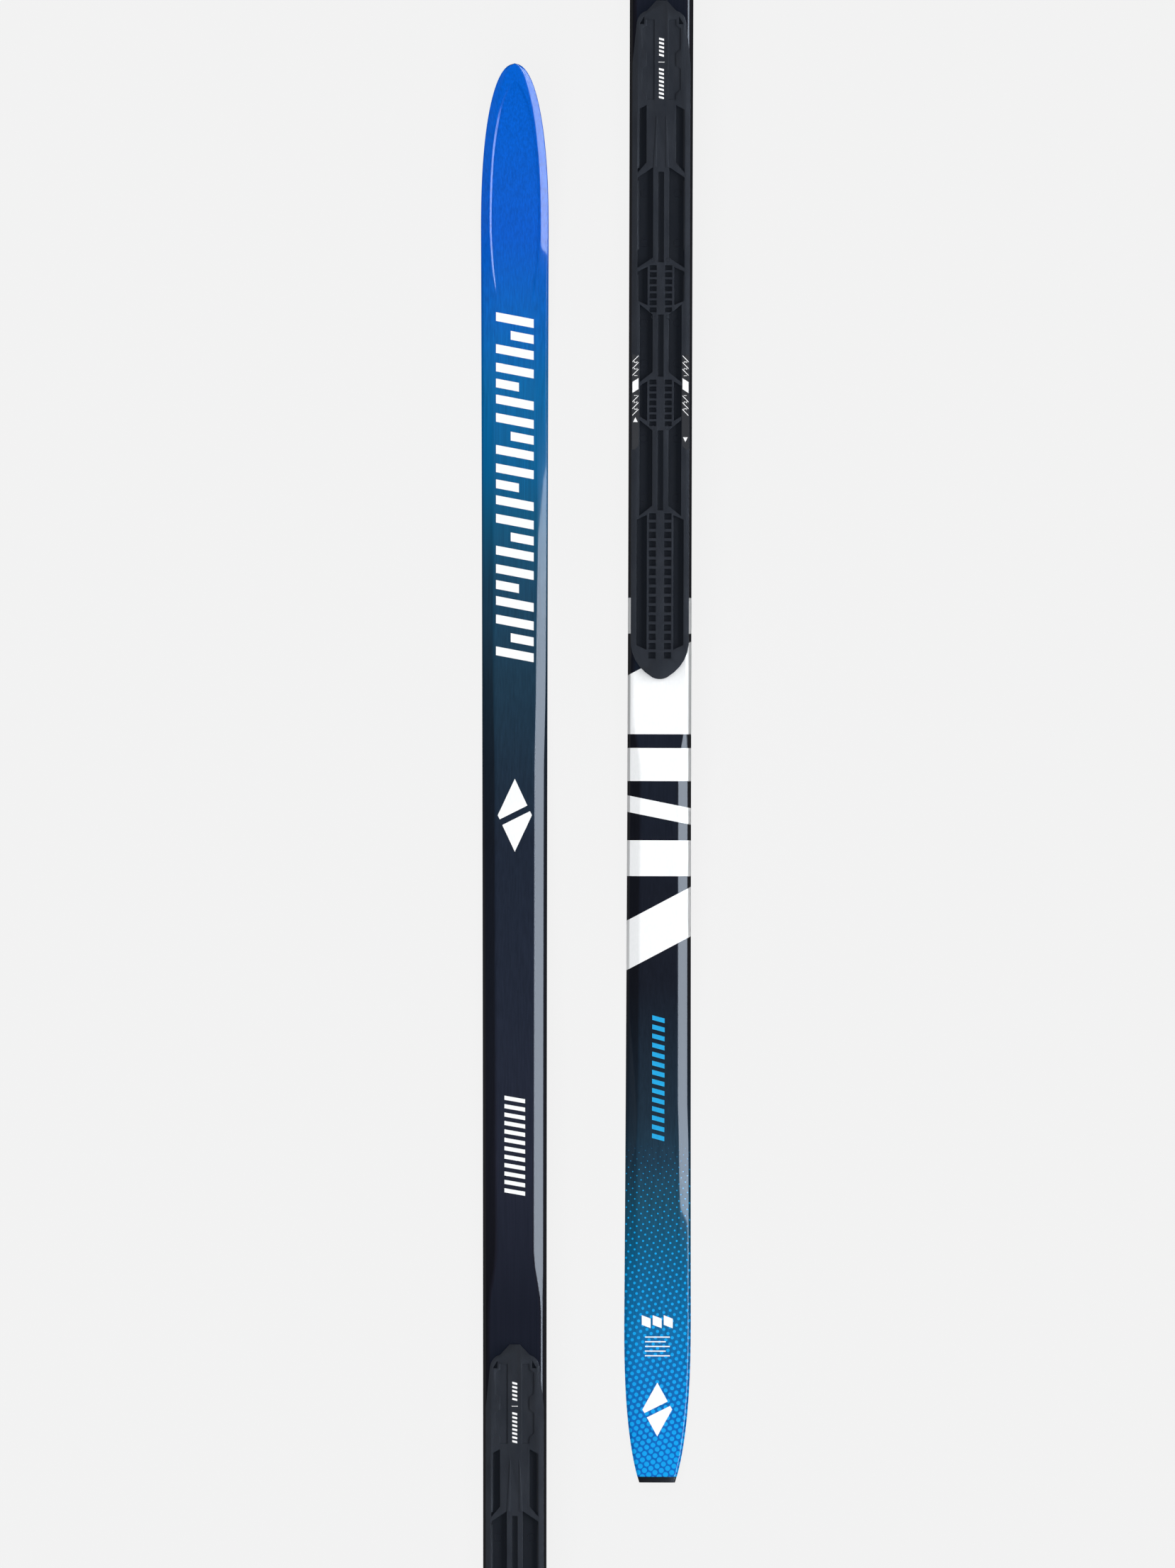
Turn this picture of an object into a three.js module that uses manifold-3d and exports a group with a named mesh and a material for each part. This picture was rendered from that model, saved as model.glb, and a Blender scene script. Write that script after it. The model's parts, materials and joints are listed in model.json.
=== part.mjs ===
// A classic cross-country ski with its binding mounting plate, as an assembly of its real layers and pieces.
// Millimetres. +Y is forward (tip), +X right, +Z up. The origin is the bottom centre of the ski's box.
import * as THREE from "three";
import { mergeVertices } from "three/addons/utils/BufferGeometryUtils.js";
import Module from "manifold-3d";

const wasm = await Module();
wasm.setup();

// ---- Plan outline ----
const LENGTH = 2005; // straight from tip to tail
const SHOVEL_WIDTH = 49.2;
const WAIST_WIDTH = 46;
const TAIL_WIDTH = 48.4;
const SHOVEL_LENGTH = 119; // widest point of the shovel to the tip
const TAIL_TAPER_LENGTH = 117; // widest point of the tail to the square end
const TAIL_CUT_OFF = 18; // how far the tail's curve would still run past the square end
const NOSE_HALF_WIDTH = 1.5; // small flat at the very tip

// ---- Side profile ----
const CAMBER = 22;
const TIP_RISE = 64;
const TIP_RISE_LENGTH = 282;
const TAIL_RISE = 9;
const TAIL_RISE_LENGTH = 122;
const CONTACT_LENGTH = 80; // flat that touches the snow, front and rear
const DECK_THICKNESS = 25; // at the camber's highest point
const CONTACT_THICKNESS = 8.5;
const TIP_THICKNESS = 6.6;
const TAIL_THICKNESS = 7.2;

// ---- Cap section ----
const SIDE_LEAN = 2; // the side wall leans in by this much
const BEVEL_RUN = 7.4; // sideways width of the shoulder bevel
const BEVEL_DROP = 5.6;
const DECK_BEVEL_RUN = 2;
const DECK_BEVEL_DROP = 1.8;
const DECK_MARGIN = 24; // the wide flat deck runs on past each end of the plate
const DECK_BLEND = 44; // length over which the bevel narrows towards the deck
const NOSE_TAPER_WIDTH = 15; // below this half width the bevel shrinks with the outline
const BEVEL_SHARE = 0.4; // most that the bevel takes of the cap's height where the ski is thin
const STEEPEST_LEAN = 0.5; // side wall's lean against its height

// ---- Layers ----
const GLUE = 0.1;
const FIT = 0.3;
const BASE_THICKNESS = 1.6;
const EDGE_HEIGHT = 2;
const EDGE_WIDTH = 3;
const LAMINATE_THICKNESS = 0.8;
const CAP_THICKNESS = 0.9;
const CORE_CLEARANCE = 0.5;
const LEAST_ROOM = 0.1; // between edge strips and the roof's shoulder, for the laminate to run on
const REINFORCEMENT_THICKNESS = 0.6;
const BOND_FILM_THICKNESS = 0.3;

// ---- Glide groove and grip skin ----
const GROOVE_WIDTH = 8;
const GROOVE_DEPTH = 0.9;
const GROOVE_TIP_DISTANCE = 250; // groove ends this far behind the tip
const GROOVE_TAIL_DISTANCE = 60;
const SKIN_LENGTH = 450;
const SKIN_WIDTH = 34;
const SKIN_FRONT = 150; // ahead of the ski's middle
const SKIN_POCKET_DEPTH = 1.1;
const SKIN_LAND = 14; // solid sole between groove and skin pocket
const TAPE_THICKNESS = 0.3;
const PILE_THICKNESS = 1;

// ---- Core, wedges and end pieces ----
const CORE_STRIP_WIDTH = 7;
const CHANNEL_WIDTH = 3;
const CHANNEL_DEPTH_SHARE = 0.45; // of the core's local height
const CHANNEL_END_DISTANCE = 60;
const TIP_SPACER_LENGTH = 100;
const CAVITY_NOSE = 42; // solid cap at the very tip
const CAVITY_HEEL = 6; // solid cap at the tail
const PROTECTOR_LENGTH = 4.1; // visible across the tail
const TONGUE_LENGTH = 20;
const TONGUE_ROOT = 2; // how far the tongue runs into the block it belongs to

// ---- Binding plate ----
const PLATE_LENGTH = 492.5;
const PLATE_FRONT = 73.5; // its nose ahead of the ski's middle
const PLATE_WIDTH = 42.2;
const PLATE_HEIGHT = 4.6;
const PLATE_FLOOR = 1.4; // what is left under the recesses
const NOSE_LENGTH = 7.5; // slanted point of the nose
const NOSE_TOP_SHARE = 0.35; // half width of the blunt point against the nose's own
const SHOULDER_HALF = 18.4; // half width behind the rounded shoulders
const SHOULDER_CORNER = 9.5;
const SHOULDER_END = 20;
const FULL_WIDTH_START = 46; // the sides reach the plate's full width here
const HEEL_TAPER = 25; // length of the rounded V at the rear
const RAIL_WIDTH = 4;
const RIB_HALF = 5.8;
const RACK_RIB_HALF = 9.6;
const CHEVRON_RISE = 7.5;
const CHEVRON_BAR = 3.4;
const CHANNEL_HALF = 2.1;
const CHANNEL_FLOOR = 2.2;
const TOE_HALF = 10.7; // half width of the nose and of the toe land behind it
const TOE_LENGTH = 121;
const TOE_RECESS_FRONT = 14;
const TOE_RECESS_REAR = 72;
const TOE_RECESS_DEPTH = 0.8;
const TOE_RIB_HALF = 5; // the rib left standing down the toe recess
const PANEL_START = 76; // first side recess, behind the plate's nose
const RACKS = [
  { front: 190, rear: 228, rows: 7, pitch: 5.1 },
  { front: 273, rear: 312, rows: 7, pitch: 5.05 },
  { front: 370, rear: 478, rows: 16, pitch: 6.72 },
];
const RACK_END = 2.2; // rib left standing ahead of the first row
const POCKET_INNER = 3;
const POCKET_OUTER = 8.2;
const POCKET_SHARE = 0.68; // pocket length against the row pitch
const POCKET_FLOOR = 1.8;
const LABEL_WIDTH = 5;
const LABEL_LENGTH = 69;
const LABEL_FRONT = 257; // behind the plate's nose
const LABEL_THICKNESS = 0.2;
const LABEL_RAIL_WIDTH = 5.9; // the rail is wider under a label

const HALF = LENGTH / 2;
const PLATE_REAR = PLATE_FRONT - PLATE_LENGTH;
const PEAK = PLATE_FRONT - PLATE_LENGTH / 2; // highest point of the camber
const FRONT_RISE_START = HALF - TIP_RISE_LENGTH;
const REAR_RISE_START = TAIL_RISE_LENGTH - HALF;
const FRONT_ARCH_END = FRONT_RISE_START - CONTACT_LENGTH;
const REAR_ARCH_END = REAR_RISE_START + CONTACT_LENGTH;
const SHOVEL_START = HALF - SHOVEL_LENGTH;
const TAIL_START = TAIL_TAPER_LENGTH - HALF;
const DECK_FRONT = PLATE_FRONT + DECK_MARGIN;
const DECK_REAR = PLATE_REAR - DECK_MARGIN;
const DECK_Z = CAMBER + DECK_THICKNESS;
const BODY_REAR = PROTECTOR_LENGTH + GLUE - HALF; // every layer starts ahead of the tail protector's block
const CORE_FRONT = FRONT_ARCH_END;
const CORE_REAR = REAR_ARCH_END;
const SPACER_REAR = HALF - TIP_SPACER_LENGTH;
const TONGUE_FRONT = PROTECTOR_LENGTH + TONGUE_LENGTH - HALF;
const EDGE_LEVEL = BASE_THICKNESS + GLUE; // above the sole
const CAP_LEVEL = EDGE_LEVEL + EDGE_HEIGHT + GLUE;
const CORE_LEVEL = EDGE_LEVEL + LAMINATE_THICKNESS + GLUE;
const LAMINATE_INSET = CAP_THICKNESS + GLUE;
const CORE_INSET = LAMINATE_INSET + LAMINATE_THICKNESS + CORE_CLEARANCE;
const PLATE_Z = DECK_Z + GLUE + BOND_FILM_THICKNESS + GLUE;

const smooth = (v) => {
  const t = Math.min(1, Math.max(0, v));
  return t * t * (3 - 2 * t);
};

// ---- The ski's shape as functions of y ----
function halfWidth(y) {
  if (y > SHOVEL_START) {
    const v = Math.min(1, (y - SHOVEL_START) / SHOVEL_LENGTH);
    return Math.max(NOSE_HALF_WIDTH, (SHOVEL_WIDTH / 2) * (1 - v ** 2.25) ** 0.45);
  }
  if (y < TAIL_START) {
    const v = (TAIL_START - y) / (TAIL_TAPER_LENGTH + TAIL_CUT_OFF);
    return (TAIL_WIDTH / 2) * Math.sqrt(1 - v ** 2.4);
  }
  const [end, widest, power] =
    y > PEAK ? [SHOVEL_START, SHOVEL_WIDTH, 2] : [TAIL_START, TAIL_WIDTH, 2.5];
  const u = (y - PEAK) / (end - PEAK);
  return (WAIST_WIDTH + (widest - WAIST_WIDTH) * u ** power) / 2;
}

function soleHeight(y) {
  if (y > FRONT_RISE_START) return TIP_RISE * ((y - FRONT_RISE_START) / TIP_RISE_LENGTH) ** 2.4;
  if (y < REAR_RISE_START) return TAIL_RISE * ((REAR_RISE_START - y) / TAIL_RISE_LENGTH) ** 2;
  const end = y > PEAK ? FRONT_ARCH_END : REAR_ARCH_END;
  const u = Math.min(1, (y - PEAK) / (end - PEAK));
  return CAMBER * (1 - u ** 4) ** 2;
}

function topHeight(y) {
  if (y <= DECK_FRONT && y >= DECK_REAR) return DECK_Z;
  const ahead = y > PEAK;
  const deckEnd = ahead ? DECK_FRONT : DECK_REAR;
  const riseStart = ahead ? FRONT_RISE_START : REAR_RISE_START;
  const skiEnd = ahead ? HALF : -HALF;
  const endThickness = ahead ? TIP_THICKNESS : TAIL_THICKNESS;
  const taper = (1 + Math.cos(Math.PI * Math.min(1, (y - deckEnd) / (riseStart - deckEnd)))) / 2;
  const tail = Math.max(0, (y - riseStart) / (skiEnd - riseStart));
  const thickness =
    CONTACT_THICKNESS +
    (DECK_Z - soleHeight(deckEnd) - CONTACT_THICKNESS) * taper +
    (endThickness - CONTACT_THICKNESS) * tail;
  return soleHeight(y) + thickness;
}

// 1 on the deck, 0 beyond its blends.
const deckShare = (y) => 1 - smooth(Math.max(y - DECK_FRONT, DECK_REAR - y) / DECK_BLEND);

function profile(y) {
  const half = halfWidth(y);
  const sole = soleHeight(y);
  const top = topHeight(y);
  const deck = deckShare(y);
  const nose = Math.min(1, half / NOSE_TAPER_WIDTH);
  const capHeight = top - sole - CAP_LEVEL;
  const drop = Math.min(BEVEL_DROP + (DECK_BEVEL_DROP - BEVEL_DROP) * deck, capHeight * BEVEL_SHARE);
  return {
    y,
    half,
    sole,
    top,
    lean: Math.min(SIDE_LEAN * nose, (capHeight - drop) * STEEPEST_LEAN),
    run: (BEVEL_RUN + (DECK_BEVEL_RUN - BEVEL_RUN) * deck) * nose,
    drop,
  };
}

// ---- Stations shared by every layer, so that matching faces stay parallel ----
const steps = (from, to, count) =>
  Array.from({ length: count + 1 }, (_, i) => from + ((to - from) * i) / count);
const towardsTip = (count) =>
  Array.from({ length: count + 1 }, (_, i) => HALF - SHOVEL_LENGTH * (1 - i / count) ** 1.8);

const stations = [
  ...steps(-HALF, TAIL_START, 9),
  ...steps(TAIL_START, REAR_ARCH_END, 3),
  ...steps(REAR_ARCH_END, DECK_REAR - DECK_BLEND, 7),
  ...steps(DECK_REAR - DECK_BLEND, DECK_REAR, 4),
  ...steps(DECK_REAR, DECK_FRONT, 8),
  ...steps(DECK_FRONT, DECK_FRONT + DECK_BLEND, 4),
  ...steps(DECK_FRONT + DECK_BLEND, FRONT_ARCH_END, 10),
  ...steps(FRONT_ARCH_END, FRONT_RISE_START, 1),
  ...steps(FRONT_RISE_START, SHOVEL_START, 7),
  ...towardsTip(14),
]
  .sort((a, b) => a - b)
  .filter((y, i, all) => i === 0 || y - all[i - 1] > 0.5)
  .map(profile);

// The profile at any y, read off the straight facets between the stations.
function profileAt(y) {
  const next = Math.max(1, stations.findIndex((s) => s.y >= y - 1e-6));
  const [a, b] = [stations[next - 1], stations[next]];
  const t = (y - a.y) / (b.y - a.y);
  const mixed = {};
  for (const key of Object.keys(a)) mixed[key] = a[key] + (b[key] - a[key]) * t;
  return mixed;
}

// The profiles from one y to another: both ends and every station well between them.
const span = (from, to) => [
  profileAt(from),
  ...stations.filter((s) => s.y > from + 0.5 && s.y < to - 0.5),
  profileAt(to),
];

// ---- Solids ----
// A closed body through matching rings of [x, z] points, each ring anticlockwise when seen from behind.
function loft(profiles, ringAt) {
  const rings = profiles.map(ringAt);
  const count = rings[0].length;
  const positions = [];
  const corner = (i, k) => [rings[i][k % count][0], profiles[i].y, rings[i][k % count][1]];
  for (let i = 0; i < rings.length - 1; i++) {
    for (let k = 0; k < count; k++) {
      const [a, b, c, d] = [corner(i, k), corner(i, k + 1), corner(i + 1, k + 1), corner(i + 1, k)];
      positions.push(...a, ...d, ...c, ...a, ...c, ...b);
    }
  }
  for (const [i, flip] of [[0, false], [rings.length - 1, true]]) {
    const flat = rings[i].map(([x, z]) => new THREE.Vector2(x, z));
    for (const [p, q, r] of THREE.ShapeUtils.triangulateShape(flat, []))
      for (const k of flip ? [r, q, p] : [p, q, r]) positions.push(...corner(i, k));
  }
  const geometry = new THREE.BufferGeometry();
  return geometry.setAttribute("position", new THREE.Float32BufferAttribute(positions, 3));
}

function solid(geometry) {
  const bare = (geometry.index ? geometry.toNonIndexed() : geometry).clone();
  bare.deleteAttribute("normal");
  bare.deleteAttribute("uv");
  const merged = mergeVertices(bare, 1e-4);
  return new wasm.Manifold(
    new wasm.Mesh({
      numProp: 3,
      vertProperties: merged.attributes.position.array,
      triVerts: new Uint32Array(merged.index.array),
    }),
  );
}

function geometryOf(made) {
  const mesh = made.getMesh();
  const geometry = new THREE.BufferGeometry();
  geometry.setAttribute("position", new THREE.BufferAttribute(mesh.vertProperties, 3));
  geometry.setIndex(new THREE.BufferAttribute(mesh.triVerts, 1));
  return geometry;
}

// ---- Rings ----
const block = (left, right, low, high) => [[left, low], [right, low], [right, high], [left, high]];

// The cap's outline, moved inwards by inset, from the height `low` up.
function capCorners({ half, top, lean, run, drop }, inset) {
  const slope = Math.atan2(drop, run);
  return {
    shoulder: half - lean - inset,
    shoulderZ: top - drop - inset * Math.tan((Math.PI / 2 - slope) / 2),
    flat: half - lean - run - inset * Math.tan(slope / 2),
    flatZ: top - inset,
  };
}

function capRing(p, inset, low) {
  const { shoulder, shoulderZ, flat, flatZ } = capCorners(p, inset);
  return [
    [inset - p.half, low],
    [p.half - inset, low],
    [shoulder, shoulderZ],
    [flat, flatZ],
    [-flat, flatZ],
    [-shoulder, shoulderZ],
  ];
}

// Height of the core's roof at x.
function roofHeight(p, x) {
  const { shoulder, shoulderZ, flat, flatZ } = capCorners(p, CORE_INSET);
  const along = Math.min(1, Math.max(0, (Math.abs(x) - flat) / (shoulder - flat)));
  return flatZ + (shoulderZ - flatZ) * along;
}

// A strip of core from x = left to x = right, following the roof over its kink.
function coreRing(p, left, right) {
  const { flat } = capCorners(p, CORE_INSET);
  const kink = Math.min(right - GLUE, Math.max(left + GLUE, left < 0 ? -flat : flat));
  const low = p.sole + CORE_LEVEL;
  return [
    [left, low],
    [right, low],
    [right, roofHeight(p, right)],
    [kink, roofHeight(p, kink)],
    [left, roofHeight(p, left)],
  ];
}

const betweenEdges = (p) => p.half - EDGE_WIDTH - FIT;
const coreHalf = (p) => Math.min(betweenEdges(p), capCorners(p, CORE_INSET).shoulder);

// ---- Sole ----
function groove(from, to) {
  return solid(
    loft(span(from, to), (p) =>
      block(-GROOVE_WIDTH / 2, GROOVE_WIDTH / 2, p.sole - 1, p.sole + GROOVE_DEPTH),
    ),
  );
}

function runningBase() {
  const skinRear = SKIN_FRONT - SKIN_LENGTH;
  const sheet = loft(span(BODY_REAR, HALF), (p) =>
    block(-p.half, p.half, p.sole, p.sole + BASE_THICKNESS),
  );
  const pocket = loft(span(skinRear, SKIN_FRONT), (p) =>
    block(-SKIN_WIDTH / 2, SKIN_WIDTH / 2, p.sole - 1, p.sole + SKIN_POCKET_DEPTH),
  );
  return geometryOf(
    solid(sheet)
      .subtract(solid(pocket))
      .subtract(groove(GROOVE_TAIL_DISTANCE - HALF, skinRear - SKIN_LAND))
      .subtract(groove(SKIN_FRONT + SKIN_LAND, HALF - GROOVE_TIP_DISTANCE)),
  );
}

function skinLayer(above, thickness) {
  const half = SKIN_WIDTH / 2 - FIT;
  const skinRear = SKIN_FRONT - SKIN_LENGTH;
  return loft(span(skinRear + FIT, SKIN_FRONT - FIT), (p) => {
    const high = p.sole + SKIN_POCKET_DEPTH - above;
    return block(-half, half, high - thickness, high);
  });
}

function edgeStrip(side) {
  return loft(span(TONGUE_FRONT + FIT, SPACER_REAR - FIT), (p) => {
    const low = p.sole + EDGE_LEVEL;
    const [left, right] = side > 0 ? [p.half - EDGE_WIDTH, p.half] : [-p.half, EDGE_WIDTH - p.half];
    return block(left, right, low, low + EDGE_HEIGHT);
  });
}

// ---- Laminates and core ----
function lowerLaminate() {
  return loft(span(TONGUE_FRONT + FIT, SPACER_REAR - FIT), (p) => {
    const low = p.sole + EDGE_LEVEL;
    return block(-betweenEdges(p), betweenEdges(p), low, low + LAMINATE_THICKNESS);
  });
}

// The cap is hollow for the laminate only where the ski is thick enough for both.
const thickStations = stations.filter(
  (p) => capCorners(p, CORE_INSET).shoulderZ - p.sole - CAP_LEVEL > LEAST_ROOM,
);
const cavityRear = Math.max(BODY_REAR + CAVITY_HEEL, thickStations[0].y);
const cavityFront = Math.min(HALF - CAVITY_NOSE, thickStations.at(-1).y);

function upperLaminate() {
  return loft(span(cavityRear + FIT, cavityFront - FIT), (p) => {
    const low = p.sole + CAP_LEVEL;
    const [first, ...outer] = capRing(p, LAMINATE_INSET, low);
    const inner = capRing(p, LAMINATE_INSET + LAMINATE_THICKNESS, low);
    return [...outer, first, ...[inner[0], inner[5], inner[4], inner[3], inner[2], inner[1]]];
  });
}

const reinforcementHalf = WAIST_WIDTH / 2 - SIDE_LEAN - DECK_BEVEL_RUN - CORE_INSET;

function reinforcementPocket() {
  const high = DECK_Z - CORE_INSET;
  const half = WAIST_WIDTH;
  return solid(
    loft([{ y: DECK_REAR }, { y: DECK_FRONT }], () =>
      block(-half, half, high - REINFORCEMENT_THICKNESS - GLUE, high + 1),
    ),
  );
}

function bindingReinforcement() {
  const high = DECK_Z - CORE_INSET;
  return loft([{ y: DECK_REAR + FIT }, { y: DECK_FRONT - FIT }], () =>
    block(-reinforcementHalf, reinforcementHalf, high - REINFORCEMENT_THICKNESS, high),
  );
}

function airChannel(middle) {
  return solid(
    loft(span(CORE_REAR + CHANNEL_END_DISTANCE, CORE_FRONT - CHANNEL_END_DISTANCE), (p) => {
      const low = p.sole + CORE_LEVEL;
      const roof = roofHeight(p, middle);
      return block(
        middle - CHANNEL_WIDTH / 2,
        middle + CHANNEL_WIDTH / 2,
        roof - (roof - low) * CHANNEL_DEPTH_SHARE,
        roof + 2,
      );
    }),
  );
}

// The five strips by number, from -2 at the left side to 2 at the right.
function coreStrip(index) {
  const profiles = span(CORE_REAR + FIT, CORE_FRONT - FIT);
  const edge = (p, k) => {
    if (Math.abs(k) > 2) return Math.sign(k) * coreHalf(p);
    return k * CORE_STRIP_WIDTH;
  };
  const strip = loft(profiles, (p) => {
    const left = edge(p, index - 0.5) + (index > -2 ? GLUE / 2 : 0);
    const right = edge(p, index + 0.5) - (index < 2 ? GLUE / 2 : 0);
    return coreRing(p, left, right);
  });
  const cut = solid(strip).subtract(reinforcementPocket());
  if (Math.abs(index) !== 1) return geometryOf(cut);
  return geometryOf(cut.subtract(airChannel(index * CORE_STRIP_WIDTH)));
}

function coreWedge(from, to) {
  return loft(span(from + FIT, to - FIT), (p) => {
    const { shoulderZ, flat, flatZ } = capCorners(p, CORE_INSET);
    const side = coreHalf(p);
    const low = p.sole + CORE_LEVEL;
    const sideZ = Math.max(low + GLUE, shoulderZ);
    const ridge = Math.min(flat, side - GLUE);
    return [[-side, low], [side, low], [side, sideZ], [ridge, flatZ], [-ridge, flatZ], [-side, sideZ]];
  });
}

function tipSpacer() {
  return loft(span(SPACER_REAR, HALF), (p) => {
    const low = p.sole + EDGE_LEVEL;
    return block(-p.half, p.half, low, low + EDGE_HEIGHT);
  });
}

// ---- Cap ----
function topsheet() {
  const outer = loft(span(BODY_REAR, HALF), (p) => capRing(p, 0, p.sole + CAP_LEVEL));
  const cavity = loft(span(cavityRear, cavityFront), (p) => {
    const [left, right, ...roof] = capRing(p, CAP_THICKNESS, p.sole + CAP_LEVEL);
    const below = left[1] - 1;
    return [[left[0], below], [right[0], below], right, ...roof, left];
  });
  return geometryOf(solid(outer).subtract(solid(cavity)));
}

function tailProtector() {
  const end = loft(span(-HALF, BODY_REAR - GLUE), (p) => capRing(p, 0, p.sole));
  const tongue = loft(span(BODY_REAR - TONGUE_ROOT, TONGUE_FRONT), (p) => {
    const low = p.sole + EDGE_LEVEL;
    return block(-p.half, p.half, low, low + EDGE_HEIGHT);
  });
  return geometryOf(solid(end).add(solid(tongue)));
}

// ---- Binding plate: drawn with its nose at the origin and its heel towards -Y ----
function plateOutline(inset = 0) {
  const half = PLATE_WIDTH / 2 - inset;
  const toe = TOE_HALF - inset;
  const shoulder = SHOULDER_HALF - inset;
  const point = toe * NOSE_TOP_SHARE;
  const shape = new THREE.Shape();
  shape.moveTo(-point, -inset);
  shape.lineTo(-toe, -NOSE_LENGTH - inset);
  shape.quadraticCurveTo(-shoulder, -SHOULDER_CORNER - inset, -shoulder, -SHOULDER_END);
  shape.lineTo(-half, -FULL_WIDTH_START);
  shape.lineTo(-half, HEEL_TAPER - PLATE_LENGTH);
  shape.quadraticCurveTo(-half * 0.93, HEEL_TAPER * 0.4 - PLATE_LENGTH, -half * 0.25, inset + 1.2 - PLATE_LENGTH);
  shape.quadraticCurveTo(0, inset - 1.2 - PLATE_LENGTH, half * 0.25, inset + 1.2 - PLATE_LENGTH);
  shape.quadraticCurveTo(half * 0.93, HEEL_TAPER * 0.4 - PLATE_LENGTH, half, HEEL_TAPER - PLATE_LENGTH);
  shape.lineTo(half, -FULL_WIDTH_START);
  shape.lineTo(shoulder, -SHOULDER_END);
  shape.quadraticCurveTo(shoulder, -SHOULDER_CORNER - inset, toe, -NOSE_LENGTH - inset);
  shape.lineTo(point, -inset);
  return shape;
}

// An outline standing from one height to another above the plate's underside.
function standing(shape, low, high) {
  const made = new THREE.ExtrudeGeometry(shape, {
    depth: high - low,
    bevelEnabled: false,
    curveSegments: 5,
  });
  return made.translate(0, PLATE_FRONT, PLATE_Z + low);
}

const polygon = (points) => new THREE.Shape(points.map(([x, y]) => new THREE.Vector2(x, y)));

// A recess beside the rib: slanted ends, in step with the chevron bars.
function sideRecess(side, front, rear, inner, outer, frontSlant, rearSlant) {
  return polygon([
    [side * inner, -front],
    [side * outer, -front - frontSlant],
    [side * outer, -rear - rearSlant],
    [side * inner, -rear],
  ]);
}

function bindingPlate() {
  const rail = PLATE_WIDTH / 2 - RAIL_WIDTH;
  const labelRail = PLATE_WIDTH / 2 - LABEL_RAIL_WIDTH;
  const labelled = (front, rear) => front < LABEL_FRONT + LABEL_LENGTH && rear > LABEL_FRONT;
  const recesses = [];
  for (const side of [-1, 1]) {
    const panel = [PANEL_START, TOE_LENGTH - CHEVRON_BAR, TOE_HALF, rail];
    recesses.push(sideRecess(side, ...panel, CHEVRON_BAR, CHEVRON_RISE));
    let front = TOE_LENGTH;
    for (const { front: rackFront, rear } of RACKS) {
      const narrowOuter = labelled(front, rackFront) ? labelRail : rail;
      const rackOuter = labelled(rackFront, rear) ? labelRail : rail;
      const firstSlant = front === TOE_LENGTH ? CHEVRON_RISE : -CHEVRON_RISE;
      const narrowRear = rackFront - CHEVRON_BAR;
      recesses.push(sideRecess(side, front, narrowRear, RIB_HALF, narrowOuter, firstSlant, CHEVRON_RISE));
      const rackEnds = [rackFront + CHEVRON_BAR, rear - CHEVRON_BAR - CHEVRON_BAR];
      recesses.push(sideRecess(side, ...rackEnds, RACK_RIB_HALF, rackOuter, CHEVRON_BAR, -CHEVRON_BAR));
      front = rear;
    }
  }
  let made = solid(standing(plateOutline(), 0, PLATE_HEIGHT));
  const cut = (shape, floor) => {
    made = made.subtract(solid(standing(shape, floor, PLATE_HEIGHT + 1)));
  };
  for (const side of [-1, 1]) {
    const toeRecess = sideRecess(side, TOE_RECESS_FRONT, TOE_RECESS_REAR, TOE_RIB_HALF, TOE_HALF, 0, 0);
    cut(toeRecess, PLATE_HEIGHT - TOE_RECESS_DEPTH);
  }
  for (const shape of recesses) cut(shape, PLATE_FLOOR);
  let channelFront = TOE_LENGTH + CHEVRON_BAR;
  for (const { front, rear } of RACKS) {
    cut(sideRecess(1, channelFront, front, -CHANNEL_HALF, CHANNEL_HALF, 0, 0), CHANNEL_FLOOR);
    channelFront = rear;
  }
  for (const { front, rows, pitch } of RACKS) {
    for (let row = 0; row < rows; row++) {
      const start = front + RACK_END + row * pitch;
      for (const side of [-1, 1]) {
        const end = start + pitch * POCKET_SHARE;
        cut(sideRecess(side, start, end, POCKET_INNER, POCKET_OUTER, 0, 0), POCKET_FLOOR);
      }
    }
  }
  return geometryOf(made);
}

function plateBondFilm() {
  return standing(plateOutline(1.5), -GLUE - BOND_FILM_THICKNESS, -GLUE);
}

function scaleLabel(side) {
  const margin = (LABEL_RAIL_WIDTH - LABEL_WIDTH) / 2;
  const outer = PLATE_WIDTH / 2 - margin;
  const pad = sideRecess(side, LABEL_FRONT, LABEL_FRONT + LABEL_LENGTH, outer - LABEL_WIDTH, outer, 0, 0);
  return standing(pad, PLATE_HEIGHT + GLUE, PLATE_HEIGHT + GLUE + LABEL_THICKNESS);
}

// ---- Materials ----
const finish = (color, roughness, metalness = 0) =>
  new THREE.MeshStandardMaterial({ color, roughness, metalness });
const glossTopsheet = finish(0x0a3f8f, 0.15);
const blackPlastic = finish(0x17181c, 0.45);
const sinteredBase = finish(0x101012, 0.5);
const edgePlastic = finish(0x1b1b1e, 0.4);
const mohair = finish(0x2b2d33, 0.95);
const skinAdhesive = finish(0x8a8f98, 0.6);
const glassLaminate = finish(0xc9cfb4, 0.35);
const coreWood = finish(0xc8a26a, 0.7);
const spacerPlastic = finish(0x2a2c31, 0.5);
const stiffSheet = finish(0x4a4d52, 0.4);
const bondFilm = finish(0xd8d8d0, 0.6);
const labelPrint = finish(0xe6e8ea, 0.4);

// ---- Assembly ----
const ski = new THREE.Group();
function piece(name, geometry, material) {
  const mesh = new THREE.Mesh(geometry, material);
  mesh.name = name;
  ski.add(mesh);
}

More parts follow.
